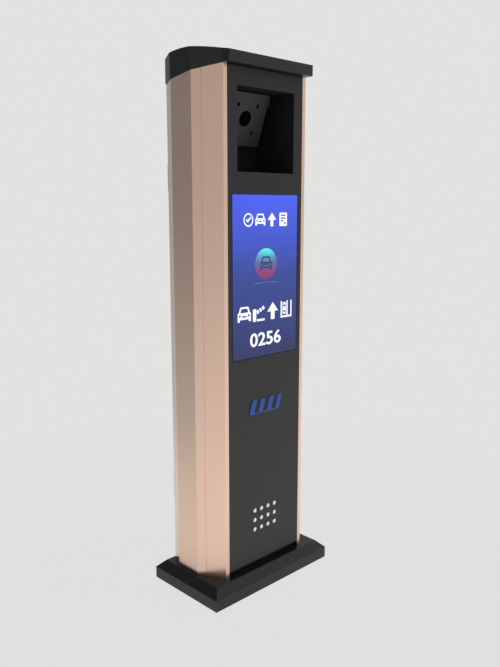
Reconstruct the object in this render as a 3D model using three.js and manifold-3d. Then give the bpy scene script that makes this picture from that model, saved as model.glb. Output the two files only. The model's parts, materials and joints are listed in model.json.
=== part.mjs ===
// Floor-standing vehicle terminal column: a faceted aluminium pillar on a bevelled plinth, with a screen,
// a loudspeaker and a camera recess behind a flat front panel, a brimmed cap and a hinged service door.
// Millimetres, +Z up, the front faces -Y. The origin is the middle of the plinth's underside.
import * as THREE from "three";
import { mergeVertices } from "three/addons/utils/BufferGeometryUtils.js";
import Module from "manifold-3d";

const wasm = await Module();
wasm.setup();

// Clearances
const fit = 0.3; // between pieces that rest on or lie beside each other
const swing = 1.5; // round the door
const slack = 0.8; // between a turning piece and its fork

// Column, in plan and in height
const columnDepth = 215;
const frontHeight = 1539.5; // floor to the cap at the front
const strip = 13.5; // each front strip, beside the panel
const flare = 43; // how far each side stands out from its front corner
const flareDepth = 83.5; // from the front to where the sides turn parallel
const taper = 19; // how far each back corner lies in from its side
const taperDepth = 44; // from where the sides turn in again to the back
const topFall = 0.158; // the top edge drops this much per millimetre towards the back
const cornerWall = 3;
const shellWall = 2.5;
const seamDistance = 64.7; // from the front corner along the first facet
const tongue = { reach: 12, root: 8, wall: 2 };

// Plinth
const plinth = { sideHeight: 35, height: 58.5, bevel: 24, wall: 5, sideMargin: 12, frontMargin: 19.5,
  rearMargin: 6.5 };
const duct = { width: 160, depth: 90 };
const bolt = { radius: 6, head: 10.4, headHeight: 8, washer: 12.5, washerHeight: 2.5, depth: 25, boss: 15,
  sideInset: 58, frontInset: 51, rearInset: 52 };
const anchor = { radius: 7, inboard: 35 };

// Frames inside the column
const frameInset = 6;
const bottomFrame = 8;
const topFrame = 5;
const frameRing = { side: 4, front: 50, rear: 60 }; // the top frame's opening, round the camera recess
const rail = { size: 20, wall: 2, sideInset: 68, backInset: 104 };
const chassis = { wall: 2, above: 233.2, belowNiche: 58.5 };

// Front panel and what it carries
const panel = { wall: 4, border: 15.5, gap: 15, land: 7.5, landWall: 3 };
const kick = { recess: 10, wall: 2 };
const screen = { width: 272, height: 477, belowNiche: 60, glass: 3.7, border: 7.5, depth: 18 };
const strap = { wall: 2.5, height: 30, foot: 13, fromEnd: 110 };
const grille = { columns: 4, rows: 3, pitchX: 28.6, pitchZ: 30.6, radius: 7, above: 135, border: 12,
  wall: 3 };
const speaker = { radius: 50, depth: 30, magnet: 30, magnetDepth: 15, wall: 2 };
const badge = { width: 142, height: 46, belowScreen: 150.5, bars: 4, stroke: 20, lean: 14, raise: 1.5,
  underline: 6 };

// Camera recess
const niche = { sideMargin: 37.5, topMargin: 51.5, height: 229.5, rearMargin: 55.5, wall: 2, flange: 14,
  cableHole: 10, cableUp: 40 };
const plate = { width: 156, above: 74, below: 80, wall: 2.5, tilt: 20, holeRadius: 23, fixing: 38.4,
  fixingRadius: 5.5, front: 88, belowCeiling: 73, cheek: 14, cheekBottom: 36, cheekTop: 68 };
const pivot = { behind: 7, above: 52, radius: 3, head: 5.5, headHeight: 3.4 };
const yoke = { wall: 2.5, ear: 20, earDrop: 35, web: 48 };

// Cap
const cap = { brim: 25, brimHeight: 31, overhang: 2, wall: 4, crownRise: 61.5, crownBehind: 121,
  rearHeight: 66, post: 7 };
const capScrew = { radius: 3, head: 5, headHeight: 5, reach: 13, sideInset: 58, frontInset: 51,
  rearInset: 52 };

// Service door at the back
const door = { sideMargin: 13.5, sillHeight: 16.5, headerHeight: 34.5, wall: 2, flange: 14, land: 19,
  seal: 13, sealWall: 3.4 };
const slot = { width: 120, height: 6, pitch: 14, count: 8, above: 170 };
const hinge = { barrel: 4.5, pin: 2.2, length: 80, leaf: 2, reach: 24, frameReach: 12, inset: 225 };
const lock = { inset: 29.5, flange: 14, flangeWall: 2, body: 9.5, depth: 16, plug: 6.3, keyWidth: 1.6,
  keyHeight: 8, keyDepth: 2.5, stub: 3.5, cam: 10, camReach: 24, camWall: 2.5 };
const fan = { size: 92, depth: 25, below: 86, bore: 43, blade: 41, hub: 17, blades: 7, spoke: 4,
  spokeWall: 3, pitch: 35, chord: 22 };

// Electronics on the chassis plate
const controller = { width: 190, height: 220, depth: 42, below: 80, fins: 9, finDepth: 14, finWall: 3 };
const supply = { width: 115, height: 215, depth: 50, above: 260, terminal: 24 };
const din = { length: 220, height: 35, depth: 7.5, wall: 1.2, above: 140 };
const terminals = { count: 8, width: 7, height: 58, depth: 42, fromEnd: 10, groove: 0.8, uncut: 6 };
const breaker = { width: 36, height: 86, depth: 36, nose: 10, noseHeight: 44, gap: 16 };
const lever = { radius: 8, width: 10, stick: 20, stickWall: 4, bore: 2, droop: 40 };
const gland = { wall: 3, margin: 12, thread: 12, bore: 7, hex: 16, hexHeight: 11, threadLength: 15 };

// Widths, heights and places worked out from the sizes above
const panelWidth = screen.width + 2 * panel.border;
const frontWidth = panelWidth + 2 * strip;
const sideWidth = frontWidth + 2 * flare;
const rearWidth = sideWidth - 2 * taper;
const doorWidth = rearWidth - 2 * door.sideMargin;
const nicheWidth = panelWidth - 2 * niche.sideMargin;
const front = (plinth.frontMargin - plinth.rearMargin - columnDepth) / 2;
const back = front + columnDepth;
const topAt = (y) => frontHeight - topFall * (y - front);
const plinthTop = plinth.height;
const frameTop = plinthTop + fit + bottomFrame;
const panelBottom = plinthTop + panel.gap;
const grilleMiddle = panelBottom + grille.above;
const nicheTop = frontHeight - niche.topMargin;
const nicheBottom = nicheTop - niche.height;
const screenTop = nicheBottom - screen.belowNiche;
const screenBottom = screenTop - screen.height;
const doorBottom = plinthTop + door.sillHeight;
const doorTop = topAt(back) - door.headerHeight;
const topFrameBottom = nicheTop + niche.wall + 3;
const topFrameTop = topFrameBottom + topFrame;
const panelBack = front + panel.wall + fit; // where the pieces behind the panel begin
const frameFront = front + kick.recess + kick.wall + fit;
const landFace = back - door.flange - fit - door.sealWall - fit; // the door's seal lies on this face
const nicheBack = back - niche.rearMargin;
const railFront = back - rail.backInset;
const chassisBack = railFront + rail.size + fit + chassis.wall;
const chassisTop = nicheBottom - chassis.belowNiche;
const chassisBottom = frameTop + chassis.above;

const finish = {
  gold: { color: 0xc9a58c, roughness: 0.38, metalness: 0.85 },
  black: { color: 0x2b2b2c, roughness: 0.5, metalness: 0.2 },
  panel: { color: 0x333334, roughness: 0.45, metalness: 0.2 },
  zinc: { color: 0xa7abb0, roughness: 0.4, metalness: 0.8 },
  steel: { color: 0x8d9196, roughness: 0.35, metalness: 0.9 },
  glass: { color: 0x3f56b8, roughness: 0.1, metalness: 0 },
  white: { color: 0xf2f2f0, roughness: 0.8, metalness: 0 },
  blue: { color: 0x1f5fd0, roughness: 0.4, metalness: 0 },
  rubber: { color: 0x1b1b1b, roughness: 0.9, metalness: 0 },
  plastic: { color: 0x26282a, roughness: 0.6, metalness: 0 },
  grey: { color: 0x9aa0a3, roughness: 0.6, metalness: 0 },
};
const materials = Object.fromEntries(
  Object.entries(finish).map(([name, look]) => [name, new THREE.MeshStandardMaterial(look)]),
);

// A closed geometry as a solid that can be cut and joined.
function solid(geometry) {
  const bare = geometry.clone();
  bare.deleteAttribute("normal");
  bare.deleteAttribute("uv");
  const merged = mergeVertices(bare, 1e-4);
  return new wasm.Manifold(
    new wasm.Mesh({
      numProp: 3,
      vertProperties: merged.attributes.position.array,
      triVerts: new Uint32Array(merged.index.array),
    }),
  );
}

function geometryOf(body) {
  const mesh = body.getMesh();
  const geometry = new THREE.BufferGeometry();
  geometry.setAttribute("position", new THREE.BufferAttribute(mesh.vertProperties, 3));
  geometry.setIndex(new THREE.BufferAttribute(mesh.triVerts, 1));
  const faceted = geometry.toNonIndexed();
  faceted.computeVertexNormals();
  return faceted;
}

const root = new THREE.Group();

function add(name, body, material, parent = root) {
  const mesh = new THREE.Mesh(geometryOf(body), materials[material]);
  mesh.name = name;
  parent.add(mesh);
}

const join = (first, ...rest) => rest.reduce((body, other) => body.add(other), first);
const cut = (first, ...rest) => rest.reduce((body, other) => body.subtract(other), first);

function block(x0, x1, y0, y1, z0, z1) {
  return solid(
    new THREE.BoxGeometry(x1 - x0, y1 - y0, z1 - z0).translate((x0 + x1) / 2, (y0 + y1) / 2, (z0 + z1) / 2),
  );
}

const shapeOf = (points) => new THREE.Shape(points.map(([x, y]) => new THREE.Vector2(x, y)));
const extrusion = (points, depth) =>
  new THREE.ExtrudeGeometry(shapeOf(points), { depth, bevelEnabled: false });

// An outline in X and Y, from z0 up to z1.
function prism(points, z0, z1) {
  return solid(extrusion(points, z1 - z0).translate(0, 0, z0));
}

// An outline in Y and Z, from x0 to x1.
function prismX(points, x0, x1) {
  const turn = new THREE.Matrix4().makeBasis(
    new THREE.Vector3(0, 1, 0), new THREE.Vector3(0, 0, 1), new THREE.Vector3(1, 0, 0));
  return solid(extrusion(points, x1 - x0).applyMatrix4(turn).translate(x0, 0, 0));
}

// An outline in X and Z, from y0 to y1.
function prismY(points, y0, y1) {
  return solid(extrusion(points, y1 - y0).rotateX(Math.PI / 2).translate(0, y1, 0));
}

// An outline in X and Y from z0 up to the column's sloping top edge.
function columnPrism(points, z0) {
  const geometry = extrusion(points, frontHeight - z0).translate(0, 0, z0);
  const position = geometry.attributes.position;
  const middle = (z0 + frontHeight) / 2;
  for (let i = 0; i < position.count; i++)
    if (position.getZ(i) > middle) position.setZ(i, topAt(position.getY(i)) - fit);
  return solid(geometry);
}

// A round bar along an axis; `at` holds its other two coordinates in X, Y, Z order.
function rod(axis, radius, from, to, at, sides = 12) {
  const geometry = new THREE.CylinderGeometry(radius, radius, to - from, sides);
  const middle = (from + to) / 2;
  if (axis === "x") geometry.rotateZ(Math.PI / 2).translate(middle, at[0], at[1]);
  if (axis === "y") geometry.translate(at[0], middle, at[1]);
  if (axis === "z") geometry.rotateX(Math.PI / 2).translate(at[0], at[1], middle);
  return solid(geometry);
}

// A profile of [radius, y] points turned about the Y axis through (x, z), starting at y.
function turned(profile, x, y, z, sides = 32) {
  const points = profile.map(([radius, along]) => new THREE.Vector2(radius, along));
  return solid(new THREE.LatheGeometry(points, sides).translate(x, y, z));
}

const mirror = (points) => points.map(([x, y]) => [-x, y]);
const sides = [["left", mirror, -1], ["right", (points) => points, 1]];

// A path moved to the left of its travel by `distance`, with mitred corners.
function offsetPath(path, distance) {
  const normal = (a, b) => new THREE.Vector2(a[1] - b[1], b[0] - a[0]).normalize();
  return path.map((point, i) => {
    const before = normal(path[Math.max(i - 1, 0)], path[Math.max(i, 1)]);
    const last = path.length - 1;
    const after = normal(path[Math.min(i, last - 1)], path[Math.min(i + 1, last)]);
    const sum = before.add(after);
    const reach = (2 * distance) / sum.lengthSq();
    return [point[0] + sum.x * reach, point[1] + sum.y * reach];
  });
}

// The right side of the column's plan, from the panel's edge round to the back corner.
const kinkFront = front + flareDepth;
const kinkRear = back - taperDepth;
const outline = [
  [panelWidth / 2, front],
  [frontWidth / 2, front],
  [sideWidth / 2, kinkFront],
  [sideWidth / 2, kinkRear],
  [rearWidth / 2, back],
];
const facet = new THREE.Vector2(outline[2][0] - outline[1][0], flareDepth).normalize();

// A point on the first facet: `along` from the seam towards the back and `inward` from the outer face.
function onFacet(along, inward) {
  const distance = seamDistance + along;
  return [
    outline[1][0] + facet.x * distance - facet.y * inward,
    front + facet.y * distance + facet.x * inward,
  ];
}

// The whole plan, both halves, moved inwards by `inset`.
function planOutline(inset) {
  const half = offsetPath([...outline, [-rearWidth / 2, back]], inset).slice(1, 5);
  return [...half, ...mirror(half).reverse()];
}

function addPlinth() {
  const halfX = sideWidth / 2 + plinth.sideMargin + plinth.bevel;
  const halfY = back + plinth.rearMargin + plinth.bevel;
  const bevelled = (x, y, bottom, sideTop, top) => {
    const profile = (half) => [[-half, bottom], [half, bottom], [half, sideTop], [half - plinth.bevel, top],
      [plinth.bevel - half, top], [-half, sideTop]];
    return prismY(profile(x), -y, y).intersect(prismX(profile(y), -x, x));
  };
  const wall = plinth.wall;
  const bevelStep = wall * (Math.SQRT2 - 1); // keeps the wall under the bevel as thick as the side's
  const tray = cut(
    bevelled(halfX, halfY, 0, plinth.sideHeight, plinthTop),
    bevelled(halfX - wall, halfY - wall, -1, plinth.sideHeight - bevelStep, plinthTop - wall),
  );
  const ductX = duct.width / 2;
  const ductY = duct.depth / 2;
  const collar = block(-ductX - wall, ductX + wall, -ductY - wall, ductY + wall, 0, plinthTop - 1);
  const bosses = [...boltPlaces(), ...anchorPlaces()]
    .map((at) => rod("z", bolt.boss, 0, plinthTop - 1, at));
  const threads = boltPlaces()
    .map((at) => rod("z", bolt.radius + fit, plinthTop - bolt.depth - 2, plinthTop + 1, at));
  const anchors = anchorPlaces().map((at) => rod("z", anchor.radius, -1, plinthTop + 1, at));
  add("base_plinth", cut(join(tray, collar, ...bosses),
    block(-ductX, ductX, -ductY, ductY, -1, plinthTop + 1), ...threads, ...anchors), "black");
}

function corners(sideInset, frontInset, rearInset) {
  const x = sideWidth / 2 - sideInset;
  return [[-x, front + frontInset], [x, front + frontInset], [-x, back - rearInset], [x, back - rearInset]];
}
const boltPlaces = () => corners(bolt.sideInset, bolt.frontInset, bolt.rearInset);
const anchorPlaces = () => corners(bolt.sideInset + anchor.inboard, bolt.frontInset, bolt.rearInset);
const capScrewPlaces = () => corners(capScrew.sideInset, capScrew.frontInset, capScrew.rearInset);

// A plate that fills the column's plan inside the shells, between two heights.
function innerPlate(z0, z1) {
  const reach = sideWidth;
  return prism(planOutline(frameInset), z0, z1)
    .intersect(block(-reach, reach, frameFront, landFace - shellWall - fit, z0 - 1, z1 + 1));
}

function addFrames() {
  const z0 = plinthTop + fit;
  const opening = block(-duct.width / 2, duct.width / 2, -duct.depth / 2, duct.depth / 2, z0 - 1,
    frameTop + 1);
  const clear = boltPlaces().map((at) => rod("z", bolt.radius + fit, z0 - 1, frameTop + 1, at));
  const anchors = anchorPlaces().map((at) => rod("z", anchor.radius, z0 - 1, frameTop + 1, at));
  add("bottom_frame", cut(innerPlate(z0, frameTop), opening, ...clear, ...anchors), "zinc");

  boltPlaces().forEach((at, i) => {
    const seat = frameTop + fit;
    const washer = rod("z", bolt.washer, seat, seat + bolt.washerHeight, at);
    const head = rod("z", bolt.head, seat + bolt.washerHeight - 0.5,
      seat + bolt.washerHeight + bolt.headHeight, at, 6);
    add("column_bolt_" + (i + 1), join(washer, head,
      rod("z", bolt.radius, plinthTop - bolt.depth, seat + 1, at)), "steel");
  });

  const ringX = nicheWidth / 2 + frameRing.side;
  const ring = block(-ringX, ringX, front + frameRing.front, back - frameRing.rear, topFrameBottom - 1, topFrameTop + 1);
  const holes = capScrewPlaces()
    .map((at) => rod("z", capScrew.radius + fit, topFrameBottom - 1, topFrameTop + 1, at));
  add("top_frame", cut(innerPlate(topFrameBottom, topFrameTop), ring, ...holes), "zinc");

  const railX = sideWidth / 2 - rail.sideInset;
  const railY = railFront;
  const channel = [
    [railX, railY], [railX + rail.size / 2, railY], [railX + rail.size / 2, railY + rail.wall],
    [railX - rail.size / 2 + rail.wall, railY + rail.wall],
    [railX - rail.size / 2 + rail.wall, railY + rail.size - rail.wall],
    [railX + rail.size / 2, railY + rail.size - rail.wall], [railX + rail.size / 2, railY + rail.size],
    [railX - rail.size / 2, railY + rail.size], [railX - rail.size / 2, railY],
  ];
  for (const [side, flip] of sides)
    add("mount_rail_" + side, prism(flip(channel), frameTop + fit, topFrameBottom - fit), "zinc");
  const plateX = railX + rail.size / 2;
  add("chassis_plate", block(-plateX, plateX, chassisBack - chassis.wall, chassisBack, chassisBottom,
    chassisTop), "zinc");
}

function addGland() {
  const z0 = frameTop + fit;
  const x = duct.width / 2 + gland.margin;
  const y = duct.depth / 2 + gland.margin;
  const middle = [0, 0];
  add("gland_plate", cut(block(-x, x, -y, y, z0, z0 + gland.wall),
    rod("z", gland.thread + fit, z0 - 1, z0 + gland.wall + 1, middle)), "zinc");
  const seat = z0 + gland.wall + fit;
  const body = join(rod("z", gland.hex, seat, seat + gland.hexHeight, middle, 6),
    rod("z", gland.thread, seat - gland.threadLength, seat + 1, middle));
  add("cable_gland", cut(body, rod("z", gland.bore, seat - gland.threadLength - 1,
    seat + gland.hexHeight + 1, middle)), "plastic");
}

function addShells() {
  const landX = panelWidth / 2 - panel.land;
  const landBack = panelBack + panel.landWall;
  const [innerX, innerY] = onFacet(0, cornerWall);
  const innerFront = innerX + ((landBack - innerY) * facet.x) / facet.y;
  const profile = [
    [landX, panelBack], [panelWidth / 2, panelBack], outline[0], outline[1], onFacet(0, 0),
    [innerX, innerY], [innerFront, landBack], [landX, landBack],
  ];
  const notch = block(-panelWidth / 2, panelWidth / 2, front - 1, landBack + 1, 0, panelBottom);
  for (const [side, flip] of sides)
    add("corner_profile_" + side, cut(columnPrism(flip(profile), plinthTop + fit), notch), "gold");

  const gapX = doorWidth / 2 + swing;
  const outer = [
    onFacet(fit, 0), ...outline.slice(2), [gapX, back], [gapX, landFace], [gapX - door.land, landFace],
  ];
  const inner = offsetPath(outer, shellWall).reverse();
  inner.pop();
  const lap = cornerWall + fit;
  const shell = [...outer, ...inner, onFacet(tongue.root, shellWall),
    onFacet(tongue.root, lap + tongue.wall), onFacet(-tongue.reach, lap + tongue.wall),
    onFacet(-tongue.reach, lap), onFacet(fit, lap)];
  for (const [side, flip] of sides)
    add("side_shell_" + side, columnPrism(flip(shell), plinthTop + fit), "gold");
}

function addFrontPanel() {
  const halfX = panelWidth / 2 - fit;
  const top = topAt(front + panel.wall) - fit;
  const windowX = screen.width / 2;
  const nicheX = nicheWidth / 2;
  const holes = grilleHoles().map((at) => rod("y", grille.radius, front - 1, front + panel.wall + 1, at));
  add("front_panel", cut(block(-halfX, halfX, front, front + panel.wall, panelBottom, top),
    block(-windowX, windowX, front - 1, front + panel.wall + 1, screenBottom, screenTop),
    block(-nicheX, nicheX, front - 1, front + panel.wall + 1, nicheBottom, nicheTop), ...holes), "panel");

  const kickBottom = plinthTop + fit;
  const kickTop = panelBottom - fit;
  add("kick_plate", cut(block(-halfX, halfX, front, front + kick.recess + kick.wall, kickBottom, kickTop),
    block(kick.wall - halfX, halfX - kick.wall, front - 1, front + kick.recess, 0, panelBottom)), "black");

  const glassX = windowX - fit;
  add("screen_glass", block(-glassX, glassX, front + panel.wall - screen.glass, front + panel.wall,
    screenBottom + fit, screenTop - fit), "glass");
  const moduleX = panelWidth / 2 - panel.land - fit;
  const moduleBack = panelBack + screen.depth;
  add("screen_module", block(-moduleX, moduleX, panelBack, moduleBack, screenBottom - screen.border,
    screenTop + screen.border), "zinc");
  addScreenStraps(moduleX, moduleBack);
  addBadge();
}

function addScreenStraps(moduleX, moduleBack) {
  const seat = panelBack + panel.landWall + fit;
  const hat = [[moduleX + fit + strap.foot, seat], [moduleX + fit, seat], [moduleX + fit, moduleBack + fit]];
  const path = [...mirror(hat), ...hat.reverse()];
  const thick = [...path, ...offsetPath(path, strap.wall).reverse()];
  const places = [["lower", screenBottom + strap.fromEnd], ["upper", screenTop - strap.fromEnd]];
  for (const [name, z] of places)
    add("screen_strap_" + name, prism(thick, z - strap.height / 2, z + strap.height / 2), "zinc");
}

function grilleHoles() {
  const places = [];
  for (let row = 0; row < grille.rows; row++)
    for (let column = 0; column < grille.columns; column++)
      places.push([
        (column - (grille.columns - 1) / 2) * grille.pitchX,
        grilleMiddle + (row - (grille.rows - 1) / 2) * grille.pitchZ,
      ]);
  return places;
}

// Leaning bars that stand on one underline.
function addBadge() {
  const y = [front - fit - badge.raise, front - fit];
  const left = -badge.width / 2;
  const bottom = screenBottom - badge.belowScreen - badge.height / 2;
  const top = bottom + badge.height;
  const step = (badge.width - badge.stroke - badge.lean) / (badge.bars - 1);
  const bars = Array.from({ length: badge.bars }, (_, i) => {
    const x = left + i * step;
    return prismY([[x, bottom], [x + badge.stroke, bottom], [x + badge.stroke + badge.lean, top],
      [x + badge.lean, top]], ...y);
  });
  const underline = block(left, -left - badge.lean, ...y, bottom, bottom + badge.underline);
  add("badge", join(underline, ...bars), "blue");
}

function addSpeaker() {
  const halfX = ((grille.columns - 1) / 2) * grille.pitchX + grille.radius + grille.border;
  const halfZ = ((grille.rows - 1) / 2) * grille.pitchZ + grille.radius + grille.border;
  const insertBack = panelBack + grille.wall;
  const pegs = grilleHoles()
    .map((at) => rod("y", grille.radius - fit, front + fit, panelBack + 1, at));
  add("speaker_insert", join(block(-halfX, halfX, panelBack, insertBack, grilleMiddle - halfZ,
    grilleMiddle + halfZ), ...pegs), "white");

  const y = insertBack + fit;
  const z = grilleMiddle;
  const { radius, depth, wall } = speaker;
  const rim = radius - 11;
  const floor = radius - 19;
  add("speaker_basket", turned([[0, depth - wall], [floor - wall, depth - wall], [rim - wall, 0],
    [radius, 0], [radius, wall], [rim, wall], [floor, depth], [0, depth]], 0, y, z), "plastic");
  const coneRim = rim - wall - 2;
  const coneFloor = depth - wall - 8;
  add("speaker_cone", turned([[0, coneFloor - wall], [8, coneFloor - wall], [coneRim, 1],
    [coneRim, 1 + wall], [8 + wall, coneFloor], [0, coneFloor]], 0, y, z), "rubber");
  add("speaker_magnet", rod("y", speaker.magnet, y + depth + fit, y + depth + fit + speaker.magnetDepth,
    [0, z], 24), "steel");
}

// The camera's tilting plate hangs in a yoke under the recess's ceiling.
const plateMiddle = [front + plate.front, nicheTop - plate.belowCeiling];

function addNiche() {
  const x = nicheWidth / 2;
  const wall = niche.wall;
  const y1 = nicheBack;
  const flange = block(-x - niche.flange, x + niche.flange, panelBack, panelBack + wall,
    nicheBottom - niche.flange, nicheTop + wall + 1);
  const box = block(-x - wall, x + wall, panelBack, y1, nicheBottom - wall, nicheTop + wall);
  add("camera_niche", cut(join(box, flange),
    block(-x, x, panelBack - 1, y1 - wall, nicheBottom, nicheTop),
    rod("y", niche.cableHole, y1 - wall - 1, y1 + 1, [-x / 2, nicheBottom + niche.cableUp])), "black");

  const tilt = THREE.MathUtils.degToRad(plate.tilt);
  const pivotY = plateMiddle[0] + pivot.behind * Math.cos(tilt) - pivot.above * Math.sin(tilt);
  const pivotZ = plateMiddle[1] + pivot.behind * Math.sin(tilt) + pivot.above * Math.cos(tilt);
  const inner = plate.width / 2 + slack;
  const outer = inner + yoke.wall;
  const webTop = nicheTop - fit;
  const web = block(-outer, outer, pivotY - 2, pivotY + yoke.web, webTop - yoke.wall, webTop);
  const ears = [-1, 1].map((s) => block(Math.min(s * inner, s * outer), Math.max(s * inner, s * outer),
    pivotY - yoke.ear / 2, pivotY + yoke.ear / 2, webTop - yoke.earDrop, webTop));
  add("camera_yoke", cut(join(web, ...ears),
    rod("x", pivot.radius + fit, -outer - 1, outer + 1, [pivotY, pivotZ])), "black");
}

function addCameraPlate() {
  const group = new THREE.Group();
  group.position.set(0, plateMiddle[0], plateMiddle[1]);
  group.rotation.x = THREE.MathUtils.degToRad(plate.tilt);
  root.add(group);
  const x = plate.width / 2;
  const pin = [pivot.behind, pivot.above];
  const fixings = [[-1, -1], [1, -1], [-1, 1], [1, 1]].map(([a, b]) =>
    rod("y", plate.fixingRadius, -1, plate.wall + 1, [a * plate.fixing, b * plate.fixing], 12));
  const cheeks = [-1, 1].map((s) => block(Math.min(s * x, s * (x - plate.wall)),
    Math.max(s * x, s * (x - plate.wall)), 0, plate.cheek, plate.cheekBottom, plate.cheekTop));
  add("camera_plate", cut(join(block(-x, x, 0, plate.wall, -plate.below, plate.above), ...cheeks),
    rod("y", plate.holeRadius, -1, plate.wall + 1, [0, 0], 32),
    rod("x", pivot.radius + fit, -x - 1, -x + plate.wall + 1, pin),
    rod("x", pivot.radius + fit, x - plate.wall - 1, x + 1, pin), ...fixings), "black", group);
  const seat = x + slack + yoke.wall + fit;
  for (const [side, , sign] of sides) {
    const span = (from, to) => [Math.min(sign * from, sign * to), Math.max(sign * from, sign * to)];
    add("pivot_screw_" + side, join(rod("x", pivot.radius, ...span(x - plate.wall - 2, seat + 1), pin),
      rod("x", pivot.head, ...span(seat, seat + pivot.headHeight), pin)), "steel", group);
  }
}

// The cap's upper edge, front to back, lowered by `drop`.
function crown(drop) {
  const y0 = front - cap.brim;
  const y1 = back + cap.overhang;
  const curve = new THREE.QuadraticBezierCurve(
    new THREE.Vector2(y0, frontHeight + cap.brimHeight),
    new THREE.Vector2(front + cap.crownBehind, frontHeight + cap.crownRise),
    new THREE.Vector2(y1, topAt(back) + cap.rearHeight));
  return curve.getPoints(12).map((p) => [p.x, p.y - drop]);
}

function addCap() {
  const z0 = topAt(back) - 100;
  const z1 = frontHeight + cap.crownRise;
  const reach = sideWidth;
  const y1 = back + cap.overhang;
  const brimX = frontWidth / 2 + cap.overhang;
  const plan = planOutline(-cap.overhang).map(([x, y]) => [x, Math.max(y, front)]);
  const planFront = block(-brimX, brimX, front - cap.brim, front + 1, z0, z1);
  const sideProfile = [[front, frontHeight], [front - cap.brim, frontHeight], ...crown(0),
    [y1, topAt(y1)]];
  const outer = join(prism(plan, z0, z1), planFront).intersect(prismX(sideProfile, -reach, reach));
  const hollowPlan = prism(planOutline(cap.wall), z0, z1);
  const hollowProfile = [[front - cap.brim, z0], ...crown(cap.wall), [y1, z0]];
  const shell = cut(outer, hollowPlan.intersect(prismX(hollowProfile, -reach, reach)));
  const posts = capScrewPlaces().map((at) => join(
    rod("z", cap.post, topFrameTop + fit, topAt(at[1]) + 1, at),
    rod("z", cap.post, topAt(at[1]), z1, at).intersect(outer)));
  const bores = capScrewPlaces().map((at) =>
    rod("z", capScrew.radius + fit, topFrameTop, topFrameTop + capScrew.reach + 2, at));
  add("top_cap", cut(join(shell, ...posts), ...bores), "black");

  capScrewPlaces().forEach((at, i) => {
    const seat = topFrameBottom - fit;
    add("cap_screw_" + (i + 1), join(rod("z", capScrew.head, seat - capScrew.headHeight, seat, at),
      rod("z", capScrew.radius, seat - 1, topFrameTop + capScrew.reach, at)), "steel");
  });
}

function addRearFrame() {
  const x = doorWidth / 2 + swing - fit;
  const landX = doorWidth / 2 + swing - door.land - fit;
  const wall = door.wall;
  // `shelf` is the face next to the door, `end` the far edge of the piece and `away` points from the door.
  const closing = (shelf, end, away) => {
    const span = (a, b) => [Math.min(a, b), Math.max(a, b)];
    return join(block(-x, x, back - wall, back, ...span(shelf, end)),
      block(-x, x, landFace + fit, back, ...span(shelf, shelf + away * wall)),
      block(-landX, landX, landFace - wall, back, ...span(shelf, shelf + away * wall)),
      block(-landX, landX, landFace - wall, landFace,
        ...span(shelf - away * (door.land - swing), shelf + away * wall)));
  };
  add("rear_header", closing(doorTop + swing, topAt(back) - fit, 1), "gold");
  add("rear_sill", closing(doorBottom - swing, plinthTop + fit, -1), "gold");

  const y0 = landFace + fit;
  const edge = doorWidth / 2 - swing;
  const bottom = doorBottom + swing;
  const top = doorTop - swing;
  add("door_seal", cut(block(-edge, edge, y0, y0 + door.sealWall, bottom, top),
    block(door.seal - edge, edge - door.seal, y0 - 1, y0 + door.sealWall + 1, bottom + door.seal,
      top - door.seal)), "rubber");
}

const dinMiddle = chassisBottom + din.above;
const lockX = doorWidth / 2 - lock.inset;
const lockZ = (doorBottom + doorTop) / 2;
const hingeX = -doorWidth / 2 - swing / 2;
const hingeY = back + fit + hinge.barrel;

function addDoor() {
  const x = doorWidth / 2;
  const wall = door.wall;
  const y0 = back - door.flange;
  const slots = (middle, count, width) => Array.from({ length: count }, (_, i) => {
    const z = middle + (i - (count - 1) / 2) * slot.pitch;
    return block(-width / 2, width / 2, y0, back + 1, z - slot.height / 2, z + slot.height / 2);
  });
  const fanSlots = Math.floor((2 * fan.bore) / slot.pitch) - 1;
  add("door_rim", cut(block(-x, x, y0, back - wall - fit, doorBottom, doorTop),
    block(wall - x, x - wall, y0 - 1, back, doorBottom + wall, doorTop - wall)), "gold");
  add("rear_door", cut(block(-x, x, back - wall, back, doorBottom, doorTop),
    rod("y", lock.body + fit, y0, back + 1, [lockX, lockZ], 24),
    ...slots(doorBottom + slot.above, slot.count, slot.width),
    ...slots(doorTop - fan.below, fanSlots, 1.4 * fan.bore)), "gold");
}

function addHinges() {
  const places = [["lower", doorBottom + hinge.inset], ["upper", doorTop - hinge.inset]];
  const knuckle = (hinge.length - 2 * slack) / 3;
  const hole = (z) => rod("z", hinge.pin + fit, z - hinge.length, z + hinge.length, [hingeX, hingeY]);
  const y0 = back + fit;
  for (const [name, z] of places) {
    const bottom = z - hinge.length / 2;
    const top = bottom + hinge.length;
    const spans = [0, 1, 2].map((i) => [bottom + i * (knuckle + slack), bottom + i * (knuckle + slack)
      + knuckle]);
    // One leaf: its plate, and a web and barrel at each of its knuckles.
    const leaf = (sign, reach, own) => {
      const clear = hinge.barrel + slack;
      const place = (a, b) => [hingeX + Math.min(sign * a, sign * b), hingeX + Math.max(sign * a, sign * b)];
      const plateBody = block(...place(clear, reach), y0, y0 + hinge.leaf, bottom, top);
      const barrels = own.map((span) => join(
        rod("z", hinge.barrel, ...span, [hingeX, hingeY]),
        block(...place(0, clear + 1), y0, y0 + hinge.leaf, ...span)));
      return cut(join(plateBody, ...barrels), hole(z));
    };
    add("hinge_frame_leaf_" + name, leaf(-1, hinge.frameReach, [spans[0], spans[2]]), "steel");
    add("hinge_door_leaf_" + name, leaf(1, hinge.reach, [spans[1]]), "steel");
    add("hinge_pin_" + name, join(rod("z", hinge.pin, bottom, top + 1, [hingeX, hingeY]),
      rod("z", hinge.barrel - 1, top + fit, top + 2.5, [hingeX, hingeY])), "steel");
  }
}

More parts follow.
